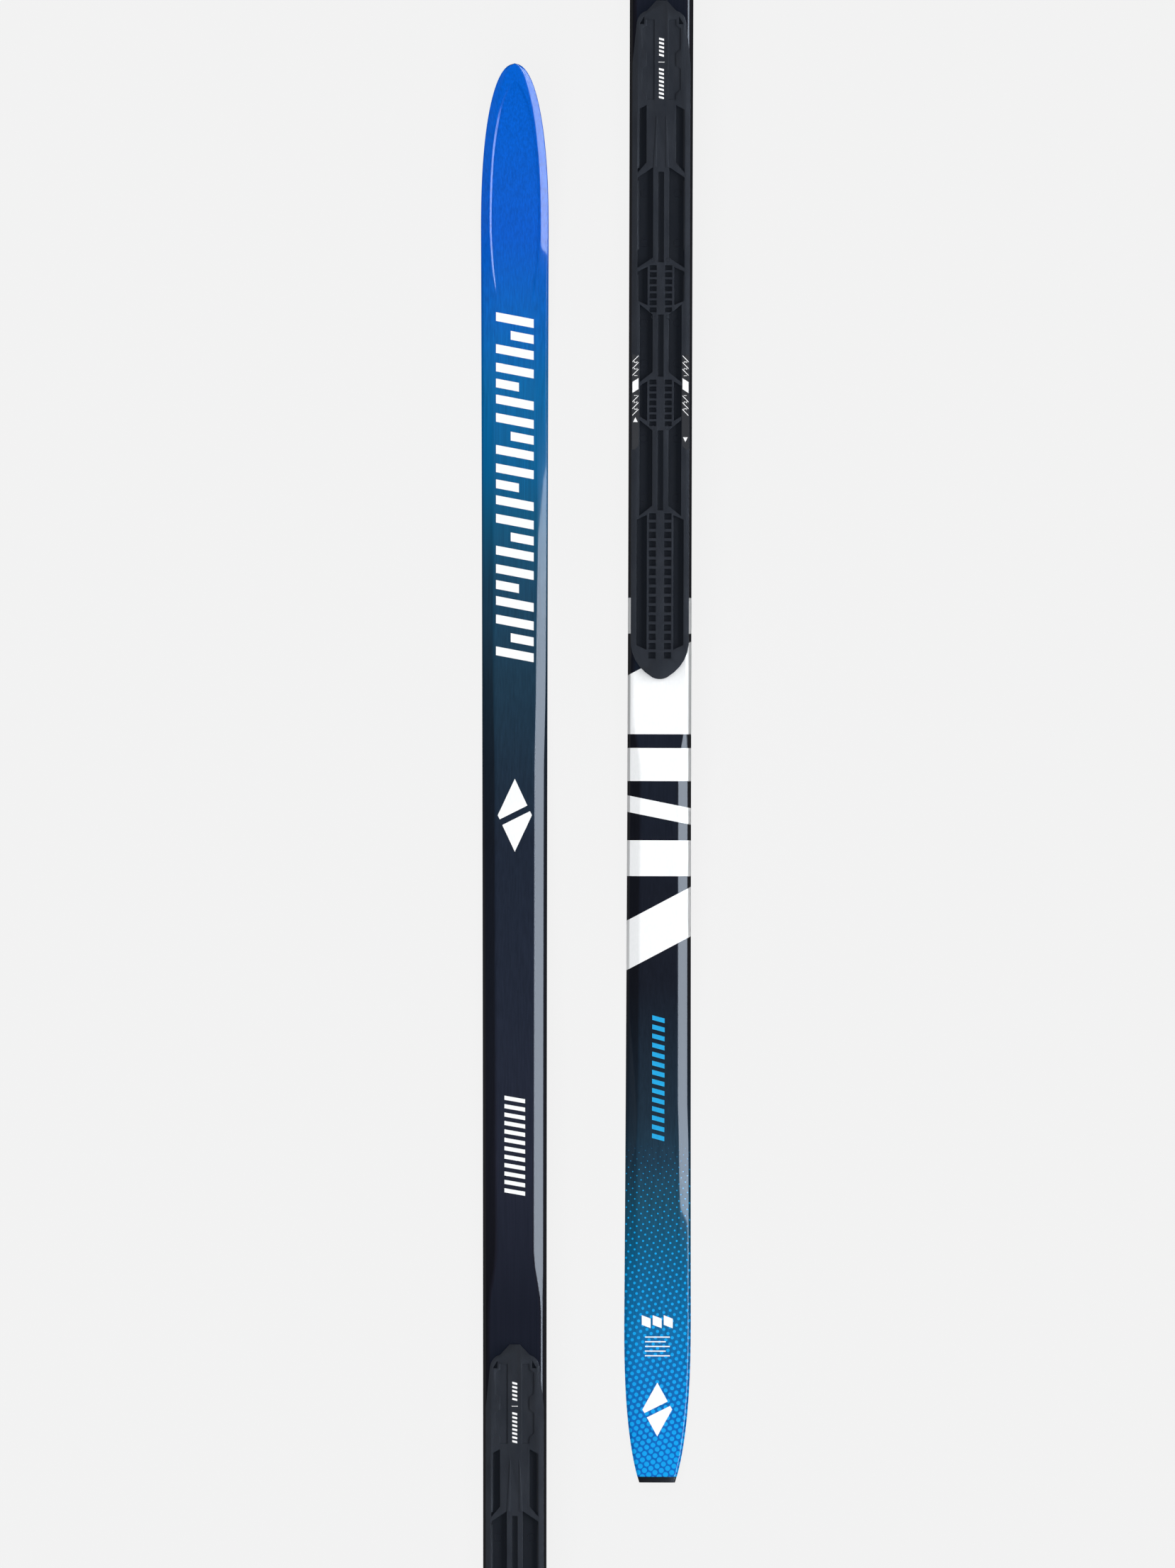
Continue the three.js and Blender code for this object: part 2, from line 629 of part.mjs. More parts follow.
piece("topsheet", topsheet(), glossTopsheet);
piece("tail_protector", tailProtector(), blackPlastic);
piece("tip_spacer", tipSpacer(), spacerPlastic);
piece("running_base", runningBase(), sinteredBase);
piece("left_edge_strip", edgeStrip(-1), edgePlastic);
piece("right_edge_strip", edgeStrip(1), edgePlastic);
piece("skin_tape", skinLayer(GLUE, TAPE_THICKNESS), skinAdhesive);
piece("skin_pile", skinLayer(GLUE + TAPE_THICKNESS + GLUE, PILE_THICKNESS), mohair);
piece("lower_laminate", lowerLaminate(), glassLaminate);
piece("upper_laminate", upperLaminate(), glassLaminate);
piece("core_left_outer_strip", coreStrip(-2), coreWood);
piece("core_left_inner_strip", coreStrip(-1), coreWood);
piece("core_centre_strip", coreStrip(0), coreWood);
piece("core_right_inner_strip", coreStrip(1), coreWood);
piece("core_right_outer_strip", coreStrip(2), coreWood);
piece("front_core_wedge", coreWedge(CORE_FRONT, Math.min(SPACER_REAR, cavityFront)), spacerPlastic);
piece("rear_core_wedge", coreWedge(Math.max(TONGUE_FRONT, cavityRear), CORE_REAR), spacerPlastic);
piece("binding_reinforcement", bindingReinforcement(), stiffSheet);
piece("plate_bond_film", plateBondFilm(), bondFilm);
piece("binding_plate", bindingPlate(), blackPlastic);
piece("left_scale_label", scaleLabel(-1), labelPrint);
piece("right_scale_label", scaleLabel(1), labelPrint);

export default ski;
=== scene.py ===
# %% [markdown]
# # A classic cross country ski
# A ski is a stack of thin layers pressed together in a heated mould: a running base, edge strips, glass
# fibre, a wood core and, over everything, one printed and lacquered topsheet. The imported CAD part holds
# those layers as plain, faceted solids. This lesson keeps the core and most of the hidden sheets, and puts
# finer pieces in the place of the ones that show.

# %% Load the frame
import json
import math

import bpy
import numpy as np
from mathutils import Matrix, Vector

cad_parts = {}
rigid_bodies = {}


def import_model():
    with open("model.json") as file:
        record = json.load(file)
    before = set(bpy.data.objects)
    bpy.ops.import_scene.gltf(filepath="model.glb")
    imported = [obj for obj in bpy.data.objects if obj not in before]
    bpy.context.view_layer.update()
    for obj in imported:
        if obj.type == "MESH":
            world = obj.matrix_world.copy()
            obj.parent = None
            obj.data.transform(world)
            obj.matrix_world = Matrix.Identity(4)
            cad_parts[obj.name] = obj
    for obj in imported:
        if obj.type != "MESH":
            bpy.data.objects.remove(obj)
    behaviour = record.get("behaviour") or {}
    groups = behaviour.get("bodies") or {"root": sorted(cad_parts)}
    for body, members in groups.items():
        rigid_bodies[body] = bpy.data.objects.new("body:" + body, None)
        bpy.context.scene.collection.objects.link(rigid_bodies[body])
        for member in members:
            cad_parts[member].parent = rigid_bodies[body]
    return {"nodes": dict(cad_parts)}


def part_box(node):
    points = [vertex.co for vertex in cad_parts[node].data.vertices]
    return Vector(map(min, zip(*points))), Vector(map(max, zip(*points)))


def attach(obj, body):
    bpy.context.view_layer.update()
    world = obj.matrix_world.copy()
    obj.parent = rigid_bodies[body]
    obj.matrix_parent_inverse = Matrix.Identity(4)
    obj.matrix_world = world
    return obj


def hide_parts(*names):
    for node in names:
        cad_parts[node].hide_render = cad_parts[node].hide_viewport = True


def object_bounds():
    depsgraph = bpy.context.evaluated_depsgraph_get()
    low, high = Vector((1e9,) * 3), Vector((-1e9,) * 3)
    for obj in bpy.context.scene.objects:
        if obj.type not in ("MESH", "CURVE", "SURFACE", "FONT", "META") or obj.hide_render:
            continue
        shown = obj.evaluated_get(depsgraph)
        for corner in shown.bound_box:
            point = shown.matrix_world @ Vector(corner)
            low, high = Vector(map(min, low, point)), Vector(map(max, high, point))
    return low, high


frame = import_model()
cad_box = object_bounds()
nodes = frame["nodes"]
bpy.ops.object.select_all(action="DESELECT")
print("CAD nodes", len(nodes), "box", [round(c, 4) for corner in cad_box for c in corner])

# %% [markdown]
# ## The mould
# Every layer follows the same mould, so the mould is written once, as functions of y, the place along the
# ski. The lengths come from the frame. The outline is a rounded shovel, a narrow waist and a tail that would
# run to a point if it weren't cut off square. The sole is flat where it touches the snow and arches in
# between.

# %% Driving dimensions, in metres
MM = 0.001
HALF = cad_box[1].y  # half the ski's length
PLATE_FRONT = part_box("binding_plate")[1].y
PLATE_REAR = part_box("binding_plate")[0].y
PEAK = (PLATE_FRONT + PLATE_REAR) / 2  # highest point of the camber
SHOVEL_WIDTH, WAIST_WIDTH, TAIL_WIDTH = 49.2 * MM, 46 * MM, 48.4 * MM
SHOVEL_LENGTH, TAIL_TAPER, TAIL_CUT_OFF = 119 * MM, 117 * MM, 18 * MM
NOSE_HALF = 1.5 * MM
CAMBER, TIP_RISE, TAIL_RISE = 22 * MM, 64 * MM, 9 * MM
TIP_RISE_LENGTH, TAIL_RISE_LENGTH, CONTACT_LENGTH = 282 * MM, 122 * MM, 80 * MM
DECK_Z = 47 * MM
DECK_MARGIN, DECK_BLEND = 24 * MM, 44 * MM
CONTACT_THICKNESS, TIP_THICKNESS, TAIL_THICKNESS = 8.5 * MM, 6.6 * MM, 7.2 * MM
CAP_LEVEL = 3.8 * MM  # the topsheet's lower edge above the sole
SIDE_LEAN = 2 * MM
BEVEL_RUN, BEVEL_DROP = 7.4 * MM, 5.6 * MM
DECK_BEVEL_RUN, DECK_BEVEL_DROP = 2 * MM, 1.8 * MM
SHOVEL_BEVEL_RUN = 5.2 * MM  # the rim round the shovel's panel is narrower
NOSE_TAPER_WIDTH = 15 * MM

SHOVEL_START = HALF - SHOVEL_LENGTH
TAIL_START = TAIL_TAPER - HALF
FRONT_RISE = HALF - TIP_RISE_LENGTH
REAR_RISE = TAIL_RISE_LENGTH - HALF
FRONT_ARCH = FRONT_RISE - CONTACT_LENGTH
REAR_ARCH = REAR_RISE + CONTACT_LENGTH
DECK_FRONT = PLATE_FRONT + DECK_MARGIN
DECK_REAR = PLATE_REAR - DECK_MARGIN
print("camber peak at y", round(PEAK, 4), "deck from", round(DECK_REAR, 3), "to", round(DECK_FRONT, 3))


# %% The outline, the sole and the top
def smooth(value):
    t = min(1.0, max(0.0, value))
    return t * t * (3 - 2 * t)


def half_width(y):
    if y > SHOVEL_START:
        v = min(1.0, (y - SHOVEL_START) / SHOVEL_LENGTH)
        return max(NOSE_HALF, SHOVEL_WIDTH / 2 * (1 - v**2.25) ** 0.45)
    if y < TAIL_START:
        v = (TAIL_START - y) / (TAIL_TAPER + TAIL_CUT_OFF)
        return TAIL_WIDTH / 2 * math.sqrt(1 - v**2.4)
    end, widest, power = (SHOVEL_START, SHOVEL_WIDTH, 2) if y > PEAK else (TAIL_START, TAIL_WIDTH, 2.5)
    u = (y - PEAK) / (end - PEAK)
    return (WAIST_WIDTH + (widest - WAIST_WIDTH) * u**power) / 2


def sole_height(y):
    if y > FRONT_RISE:
        return TIP_RISE * ((y - FRONT_RISE) / TIP_RISE_LENGTH) ** 2.4
    if y < REAR_RISE:
        return TAIL_RISE * ((REAR_RISE - y) / TAIL_RISE_LENGTH) ** 2
    u = min(1.0, (y - PEAK) / ((FRONT_ARCH if y > PEAK else REAR_ARCH) - PEAK))
    return CAMBER * (1 - u**4) ** 2


def top_height(y):
    if DECK_REAR <= y <= DECK_FRONT:
        return DECK_Z
    ahead = y > PEAK
    front, rear = (DECK_FRONT, FRONT_RISE, HALF, TIP_THICKNESS), (DECK_REAR, REAR_RISE, -HALF, TAIL_THICKNESS)
    deck_end, rise_start, ski_end, end_thickness = front if ahead else rear
    taper = (1 + math.cos(math.pi * min(1.0, (y - deck_end) / (rise_start - deck_end)))) / 2
    towards_end = max(0.0, (y - rise_start) / (ski_end - rise_start))
    thickness = CONTACT_THICKNESS + (DECK_Z - sole_height(deck_end) - CONTACT_THICKNESS) * taper
    return sole_height(y) + thickness + (end_thickness - CONTACT_THICKNESS) * towards_end


for name, y in [("tip", HALF), ("front contact", FRONT_ARCH), ("camber peak", PEAK), ("tail", -HALF)]:
    measured = [round(at(y) / MM, 1) for at in (half_width, sole_height, top_height)]
    print(name, "half width, sole and top in mm", measured)

# %% [markdown]
# ## How steep the shoulders are
# The cap's shoulders carry the ski's look: they are broad bevels along the body, a narrow edge beside the
# binding plate, and a rim round the panel that is pressed into the shovel. The bevel is steep where the ski
# is thick or where the rim stands round the panel, and shallow in between and at the tail.

# %% The bevel's run and drop at each place
RIM_STEEPNESS, FORE_STEEPNESS, BODY_STEEPNESS, TAIL_STEEPNESS = 0.78, 0.3, 0.72, 0.25  # of the cap's height


def blend(y, stops):
    """The value at y between (place, value) stops that are in order of place, eased from each to the next."""
    if y <= stops[0][0]:
        return stops[0][1]
    for (a, low), (b, high) in zip(stops, stops[1:]):
        if y <= b:
            return low + (high - low) * smooth((y - a) / (b - a))
    return stops[-1][1]


STEEPNESS = [
    (-0.89, TAIL_STEEPNESS), (-0.73, BODY_STEEPNESS), (0.50, BODY_STEEPNESS),
    (0.69, 0.62), (0.79, FORE_STEEPNESS), (0.84, FORE_STEEPNESS), (0.89, RIM_STEEPNESS),
]
RUN = [(0.815, BEVEL_RUN), (0.885, SHOVEL_BEVEL_RUN)]


def section(y):
    """Half width, cap's lower edge, shoulder and flat corner: everything that a ring of the cap needs."""
    half, sole, top = half_width(y), sole_height(y), top_height(y)
    deck = 1 - smooth(max(y - DECK_FRONT, DECK_REAR - y) / DECK_BLEND)
    nose = min(1.0, half / NOSE_TAPER_WIDTH)
    height = top - sole - CAP_LEVEL
    drop = min(BEVEL_DROP + (DECK_BEVEL_DROP - BEVEL_DROP) * deck, height * blend(y, STEEPNESS))
    run = blend(y, RUN)
    run = (run + (DECK_BEVEL_RUN - run) * deck) * nose
    lean = min(SIDE_LEAN * nose, (height - drop) * 0.5)
    return half, sole, top, half - lean, top - drop, half - lean - run


print("shoulder drop at the waist", round((DECK_Z - section(PEAK)[4]) / MM, 2), "mm")

# %% [markdown]
# ## Helpers for layers
# The real layers start as flat sheets. So does each piece here: a flat grid is added, its points are laid on
# the mould, and Solidify gives it its thickness. One helper lays any grid, given the places of its rows and
# columns. Another one finishes a piece: it takes a material, rides on the ski's one body and may stand in
# for nodes of the frame.


# %% Lay a flat grid on the mould
FINE_ROW, COARSE_ROW = 4 * MM, 11 * MM
STRAIGHT_REAR, STRAIGHT_FRONT = -0.84, 0.70  # coarse rows are enough in between
NOSE_LENGTH, NOSE_ROWS, NOSE_CROWDING = 20 * MM, 24, 1.9


def rows_between(start, end):
    """Places along the ski: close together where the tip and tail bend, further apart on the body."""
    places, y = [start], start
    while y < end - FINE_ROW / 2:
        y += FINE_ROW if y < STRAIGHT_REAR or y > STRAIGHT_FRONT else COARSE_ROW
        places.append(min(y, end))
    if end > HALF - NOSE_LENGTH:
        places = [p for p in places if p < HALF - NOSE_LENGTH]
        places += [HALF - NOSE_LENGTH * (1 - i / NOSE_ROWS) ** NOSE_CROWDING for i in range(NOSE_ROWS + 1)]
    return places


def lay_grid(name, rows, columns, place):
    """A grid of rows × columns points, each put where place(row, column) says."""
    bpy.ops.mesh.primitive_grid_add(x_subdivisions=columns - 1, y_subdivisions=len(rows) - 1, size=2)
    sheet = bpy.context.active_object
    sheet.name = sheet.data.name = name
    for vertex in sheet.data.vertices:
        column = round((vertex.co.x + 1) / 2 * (columns - 1))
        row = round((vertex.co.y + 1) / 2 * (len(rows) - 1))
        vertex.co = place(rows[row], column)
    return sheet


def pick(piece):
    """Selects the piece alone, so that the next operator acts on it and on nothing else."""
    bpy.ops.object.select_all(action="DESELECT")
    piece.select_set(True)
    bpy.context.view_layer.objects.active = piece


def edit(piece):
    pick(piece)
    bpy.ops.object.mode_set(mode="EDIT")
    bpy.ops.mesh.select_all(action="SELECT")


def modify(piece, kind, **settings):
    """Adds one modifier and applies it at once."""
    pick(piece)
    modifier = piece.modifiers.new(kind.title(), kind)
    for key, value in settings.items():
        setattr(modifier, key, value)
    bpy.ops.object.modifier_apply(modifier=modifier.name)


def smooth_shaded(piece, degrees):
    pick(piece)
    bpy.ops.object.shade_smooth_by_angle(angle=math.radians(degrees))
    piece.select_set(False)


finished = []


def finish_piece(piece, material, slot, *stands_for):
    piece.data.materials.clear()
    piece.data.materials.append(material)
    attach(piece, "root")
    if stands_for:
        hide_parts(*stands_for)
    finished.append(piece)
    triangles = sum(len(p.vertices) - 2 for p in piece.data.polygons)
    print(f"{piece.name}: {triangles} triangles")


# %% [markdown]
# ## Materials: a few shared pieces
# All patterns read the ski's own Object coordinates, so they stay on it whatever the view. A small helper
# adds a node and links it, and colours are written as they look on a screen and turned into light values.


# %% Helpers for node materials
def screen(red, green, blue):
    """A colour given from 0 to 255 as a screen shows it, as linear light."""
    linear = [c / 255 / 12.92 if c <= 10 else ((c / 255 + 0.055) / 1.055) ** 2.4 for c in (red, green, blue)]
    return (*linear, 1.0)


class Finish:
    """One material being built: its shader, and short ways to add nodes to it."""

    def __init__(self, name, **constants):
        self.material = bpy.data.materials.new(name)
        self.material.use_nodes = True
        self.tree = self.material.node_tree
        self.shader = self.tree.nodes["Principled BSDF"]
        for socket, value in constants.items():
            self.shader.inputs[socket.replace("_", " ")].default_value = value
        self.object_place = self.add("ShaderNodeTexCoord").outputs["Object"]

    def add(self, kind, **settings):
        node = self.tree.nodes.new(kind)
        for key, value in settings.items():
            setattr(node, key, value)
        return node

    def feed(self, value, socket):
        if isinstance(value, bpy.types.NodeSocket):
            self.tree.links.new(value, socket)
        else:
            socket.default_value = value

    def math(self, operation, a, b=0.0, c=0.0, clamp=False):
        node = self.add("ShaderNodeMath", operation=operation, use_clamp=clamp)
        for value, socket in zip((a, b, c), node.inputs):
            self.feed(value, socket)
        return node.outputs[0]

    def scaled(self, x, y, z):
        node = self.add("ShaderNodeMapping")
        node.inputs["Scale"].default_value = (x, y, z)
        self.feed(self.object_place, node.inputs["Vector"])
        return node.outputs[0]

    def noise(self, place, detail=3.0, roughness=0.55):
        node = self.add("ShaderNodeTexNoise")
        node.inputs["Scale"].default_value = 1.0
        node.inputs["Detail"].default_value = detail
        node.inputs["Roughness"].default_value = roughness
        self.feed(place, node.inputs["Vector"])
        return node.outputs[0]

    def spread(self, value, low, high, from_low=0.0, from_high=1.0):
        node = self.add("ShaderNodeMapRange")
        for key, given in zip(("Value", "From Min", "From Max", "To Min", "To Max"),
                              (value, from_low, from_high, low, high)):
            self.feed(given, node.inputs[key])
        return node.outputs[0]

    def mix(self, share, first, second, kind="MIX"):
        node = self.add("ShaderNodeMix", data_type="RGBA", blend_type=kind)
        for value, socket in zip((share, first, second), (node.inputs[0], node.inputs[6], node.inputs[7])):
            self.feed(value, socket)
        return node.outputs[2]

    def axes(self):
        node = self.add("ShaderNodeSeparateXYZ")
        self.feed(self.object_place, node.inputs[0])
        return node.outputs

    def colour(self, value):
        self.feed(value, self.shader.inputs["Base Color"])

    def rough(self, value):
        self.feed(value, self.shader.inputs["Roughness"])

    def bump(self, height, strength, distance):
        node = self.add("ShaderNodeBump")
        node.inputs["Strength"].default_value = strength
        node.inputs["Distance"].default_value = distance
        self.feed(height, node.inputs["Height"])
        self.feed(node.outputs[0], self.shader.inputs["Normal"])


# %% [markdown]
# ## The topsheet's print
# The print is a long gradient: clear blue at the tip, teal in front of the middle, near black round the
# binding and blue again at the tail. Fine streaks run along it, because the black is brushed under the
# lacquer. At the tail a raster of cyan dots grows until the dots nearly touch. The raster is a slanted
# lattice: two step vectors, a point's coordinates on them, rounded to the nearest dot, and the distance to
# that dot's middle.

# %% The topsheet's lacquered material
PRINT_STOPS = [  # place along the ski in metres, colour on screen
    (-1.0025, (4, 96, 184)), (-0.960, (3, 96, 178)), (-0.895, (3, 98, 154)), (-0.862, (3, 88, 134)),
    (-0.832, (8, 80, 114)), (-0.800, (22, 68, 90)), (-0.768, (26, 52, 70)), (-0.735, (26, 42, 56)),
    (-0.640, (20, 24, 34)), (0.100, (20, 20, 29)), (0.200, (29, 31, 43)), (0.440, (26, 34, 48)),
    (0.560, (24, 50, 68)), (0.625, (20, 62, 88)), (0.670, (10, 76, 110)), (0.710, (0, 86, 134)),
    (0.770, (0, 92, 150)), (0.825, (0, 88, 172)), (0.880, (0, 83, 188)), (1.0025, (0, 92, 200)),
]
DOT_STEPS = ((1.53 * MM, 4.59 * MM), (4.59 * MM, 1.54 * MM))
DOT_START = -0.755  # the raster begins here and grows towards the tail
DOT_GROWTH, DOT_FIRST_RADIUS, DOT_SOFT_EDGE, DOT_COVER = 0.0068, 0.35 * MM, 0.25 * MM, 0.92
DOT_COLOUR = screen(6, 158, 228)
BEVEL_PAINTED_SHADE = (0.004, 0.0042, 0.0058, 1)  # painted shade: on the body the shoulders are pulled towards this unbrushed black


def gradient_along(finish, along):
    """The long gradient: one colour ramp stretched over the ski's whole length."""
    node = finish.add("ShaderNodeValToRGB")
    ramp = node.color_ramp
    length = 2 * HALF
    while len(ramp.elements) < len(PRINT_STOPS):
        ramp.elements.new(0.5)
    for element, (place, colour) in zip(ramp.elements, PRINT_STOPS):
        element.position = (place + HALF) / length
        element.color = screen(*colour)
    finish.feed(finish.spread(along, 0.0, 1.0, -HALF, HALF), node.inputs[0])
    return node.outputs[0]


def raster_dots(finish, across, along):
    (ux, uy), (vx, vy) = DOT_STEPS
    area = ux * vy - uy * vx
    first = finish.math("MULTIPLY_ADD", across, vy / area, finish.math("MULTIPLY", along, -vx / area))
    second = finish.math("MULTIPLY_ADD", across, -uy / area, finish.math("MULTIPLY", along, ux / area))
    off_first = finish.math("SUBTRACT", first, finish.math("ROUND", first))
    off_second = finish.math("SUBTRACT", second, finish.math("ROUND", second))
    off_x = finish.math("MULTIPLY_ADD", off_first, ux, finish.math("MULTIPLY", off_second, vx))
    off_y = finish.math("MULTIPLY_ADD", off_first, uy, finish.math("MULTIPLY", off_second, vy))
    squared = finish.math("MULTIPLY_ADD", off_x, off_x, finish.math("MULTIPLY", off_y, off_y))
    distance = finish.math("SQRT", squared)
    behind_start = finish.math("SUBTRACT", DOT_START, along)
    radius = finish.math("MULTIPLY_ADD", behind_start, DOT_GROWTH, DOT_FIRST_RADIUS)
    inside = finish.math("DIVIDE", finish.math("SUBTRACT", radius, distance), DOT_SOFT_EDGE, clamp=True)
    begun = finish.spread(along, 1.0, 0.0, DOT_START - 20 * MM, DOT_START)
    return finish.math("MULTIPLY", inside, finish.math("MULTIPLY", begun, DOT_COVER), clamp=True)


def lacquer():
    finish = Finish("lacquered_print", Coat_Roughness=0.07, Coat_IOR=1.42, Specular_IOR_Level=0.1)
    across, along, _ = finish.axes()
    print_colour = gradient_along(finish, along)
    streaks = finish.noise(finish.scaled(900, 7, 900), 4.0, 0.6)
    clouds = finish.noise(finish.scaled(30, 6, 30), 2.0)
    uneven = finish.spread(clouds, 0.94, 1.06)
    wear = finish.math("MULTIPLY", finish.spread(streaks, 0.78, 1.22, 0.25, 0.75), uneven)
    tint = finish.add("ShaderNodeCombineColor")
    for socket in tint.inputs:
        finish.feed(wear, socket)
    brushed = finish.mix(1.0, print_colour, tint.outputs[0], "MULTIPLY")
    # Painted shade: between the shovel and the tail both shoulders are darkened towards black, beyond what
    # the lamps give.
    bevel = finish.add("ShaderNodeAttribute", attribute_name="on_bevel").outputs["Fac"]
    behind_shovel = finish.spread(along, 1.0, 0.0, 0.5, 0.7)
    before_tail = finish.spread(along, 0.0, 1.0, -0.85, -0.65)
    painted_bevel_shade = finish.math("MULTIPLY", bevel, finish.math("MULTIPLY", behind_shovel, before_tail))
    brushed = finish.mix(finish.math("MULTIPLY", painted_bevel_shade, 0.6), brushed, BEVEL_PAINTED_SHADE)
    finish.colour(finish.mix(raster_dots(finish, across, along), brushed, DOT_COLOUR))
    finish.rough(finish.spread(streaks, 0.3, 0.42))
    wall = finish.add("ShaderNodeAttribute", attribute_name="side_wall").outputs["Fac"]
    finish.feed(finish.spread(wall, 1.0, 0.3), finish.shader.inputs["Coat Weight"])
    orange_peel = finish.noise(finish.scaled(160, 40, 160), 1.0)
    finish.bump(orange_peel, 0.15, 0.1 * MM)
    return finish.material


topsheet_finish = lacquer()
print("gradient stops", len(PRINT_STOPS))

# %% [markdown]
# ## The topsheet
# The sheet's section is a low hat: side wall, bevelled shoulder, flat deck. Its corners are rounded, which
# is what catches long thin highlights. A panel is pressed into the shovel. The grid's columns follow the
# corners and the panel's edge, so both stay crisp with few faces.

# %% The topsheet's section and its grid
PANEL_TIP, PANEL_NARROW, PANEL_REAR = 0.990, 0.955, 0.818
PANEL_DEPTH = 1.0 * MM
PANEL_WALL = 1.9 * MM
PANEL_MARGIN, PANEL_TIP_MARGIN = 0.5 * MM, 0.8 * MM  # rim beside the panel, and what it gains at the tip
PANEL_FADE = 42 * MM  # the panel's length of run-in at its rear
DECK_COLUMNS, WALL_COLUMNS, CORNER_COLUMNS = 8, 6, 6
DECK_ROUND = 1.5 * MM
SHOULDER_ROUNDS = [(0.45, 0.9 * MM), (0.70, 0.25 * MM), (0.86, 0.25 * MM), (0.90, 0.8 * MM)]  # by place


def panel_edge(y, flat):
    """Half width of the pressed panel at y, and its depth there."""
    closed = math.sqrt(max(0.0, 1 - max(0.0, (y - PANEL_NARROW) / (PANEL_TIP - PANEL_NARROW)) ** 4))
    margin = PANEL_MARGIN + PANEL_TIP_MARGIN * smooth((y - PANEL_NARROW + 20 * MM) / (40 * MM))
    open_at_rear = smooth((y - PANEL_REAR) / PANEL_FADE)
    edge = (flat - margin) * closed - 2.2 * MM * (1 - open_at_rear)
    depth = PANEL_DEPTH * open_at_rear * smooth((PANEL_TIP - y) / 0.006)
    return max(edge, 0.2 * MM), depth


def rounded_corner(before, corner, after, reach, count):
    """Points along a corner rounded from `reach` before it to `reach` after it."""
    points, ends = [], []
    for other in (before, after):
        way = other - corner
        ends.append(corner + way * min(0.45, reach / max(way.length, 1e-6)))
    for i in range(count):
        t = i / (count - 1)
        points.append(ends[0] * (1 - t) ** 2 + corner * 2 * t * (1 - t) + ends[1] * t**2)
    return points


def half_ring(y):
    """The right half of the topsheet's section at y, from the middle to the lower edge, as (x, z)."""
    half, sole, top, shoulder, shoulder_z, flat = section(y)
    edge, depth = panel_edge(y, flat)
    wall = min(PANEL_WALL, edge * 0.6)
    points = []
    for i in range(DECK_COLUMNS):
        points.append(Vector(((edge - wall) * i / DECK_COLUMNS, top - depth)))
    for i in range(WALL_COLUMNS + 1):
        t = i / WALL_COLUMNS
        points.append(Vector((edge - wall + wall * t, top - depth * (1 - smooth(t)))))
    deck, corner, foot = Vector((edge, top)), Vector((flat, top)), Vector((half, sole + CAP_LEVEL))
    low = Vector((shoulder, shoulder_z))
    points += rounded_corner(deck, corner, low, DECK_ROUND, CORNER_COLUMNS)
    points += rounded_corner(corner, low, foot, blend(y, SHOULDER_ROUNDS), CORNER_COLUMNS)
    points += [low.lerp(foot, 0.6), foot]
    return points


body_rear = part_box("topsheet")[0].y
rows = rows_between(body_rear, HALF)
rings = {y: half_ring(y) for y in rows}
RING = len(rings[rows[0]])


def on_cap(y, column):
    k = column - (RING - 1)
    x, z = rings[y][abs(k)]
    return (math.copysign(x, k), y, z)


topsheet = lay_grid("topsheet_cap", rows, 2 * RING - 1, on_cap)
wall_share = topsheet.data.attributes.new("side_wall", "FLOAT", "POINT")
for vertex, share in zip(topsheet.data.vertices, wall_share.data):
    shoulder_z = section(min(max(vertex.co.y, body_rear), HALF))[4]
    share.value = smooth((shoulder_z - 0.5 * MM - vertex.co.z) / MM)
bevel_share = topsheet.data.attributes.new("on_bevel", "FLOAT", "POINT")
for vertex, share in zip(topsheet.data.vertices, bevel_share.data):
    flat = section(min(max(vertex.co.y, body_rear), HALF))[5]
    share.value = smooth((abs(vertex.co.x) - flat) / MM)
print("topsheet grid", len(rows), "rows,", 2 * RING - 1, "columns")

# %% Thickness, a closed nose and smooth shading
SHEET_THICKNESS = 0.75 * MM
print_film = topsheet.copy()  # the outer face alone, kept to cut prints from
print_film.data = topsheet.data.copy()
modify(topsheet, "SOLIDIFY", thickness=SHEET_THICKNESS, offset=-1)
smooth_shaded(topsheet, 40)
finish_piece(topsheet, topsheet_finish, "gloss_topsheet", "topsheet")

# %% [markdown]
# ## The glass laminate under the cap
# A sheet of glass fibre in resin backs the topsheet. It is hidden when the ski is whole, but it has to
# follow the finer cap, so it is the same film again: moved inwards by the cap's thickness and a glue line,
# cut off at both thin ends with bisect, and given its own thickness.


# %% Offset the film inwards for the laminate
def woven_glass():
    finish = Finish("glass_laminate", Roughness=0.35)
    weave = finish.noise(finish.scaled(1400, 1400, 1400), 2.0)
    finish.colour(finish.mix(weave, (0.52, 0.56, 0.41, 1), (0.68, 0.72, 0.56, 1)))
    finish.bump(weave, 0.3, 0.1 * MM)
    return finish.material


def cut(piece, place, outward):
    """Bisects the piece at a plane and clears what lies on the outward side."""
    edit(piece)
    bpy.ops.mesh.bisect(plane_co=place, plane_no=outward, clear_outer=True)
    bpy.ops.object.mode_set(mode="OBJECT")


def pushed_out(piece, distance):
    edit(piece)
    bpy.ops.transform.shrink_fatten(value=distance)
    bpy.ops.object.mode_set(mode="OBJECT")


def film_copy(name, source):
    piece = source.copy()
    piece.data = source.data.copy()
    piece.name = piece.data.name = name
    bpy.context.scene.collection.objects.link(piece)
    return piece


GLUE, LAMINATE_THICKNESS = 0.1 * MM, 0.5 * MM
laminate = film_copy("cap_laminate", print_film)
cut(laminate, (0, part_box("upper_laminate")[1].y, 0), (0, 1, 0))
cut(laminate, (0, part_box("upper_laminate")[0].y, 0), (0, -1, 0))
pushed_out(laminate, -(SHEET_THICKNESS + GLUE))
modify(laminate, "SOLIDIFY", thickness=LAMINATE_THICKNESS, offset=-1)
smooth_shaded(laminate, 40)
finish_piece(laminate, woven_glass(), "glass_laminate", "upper_laminate")

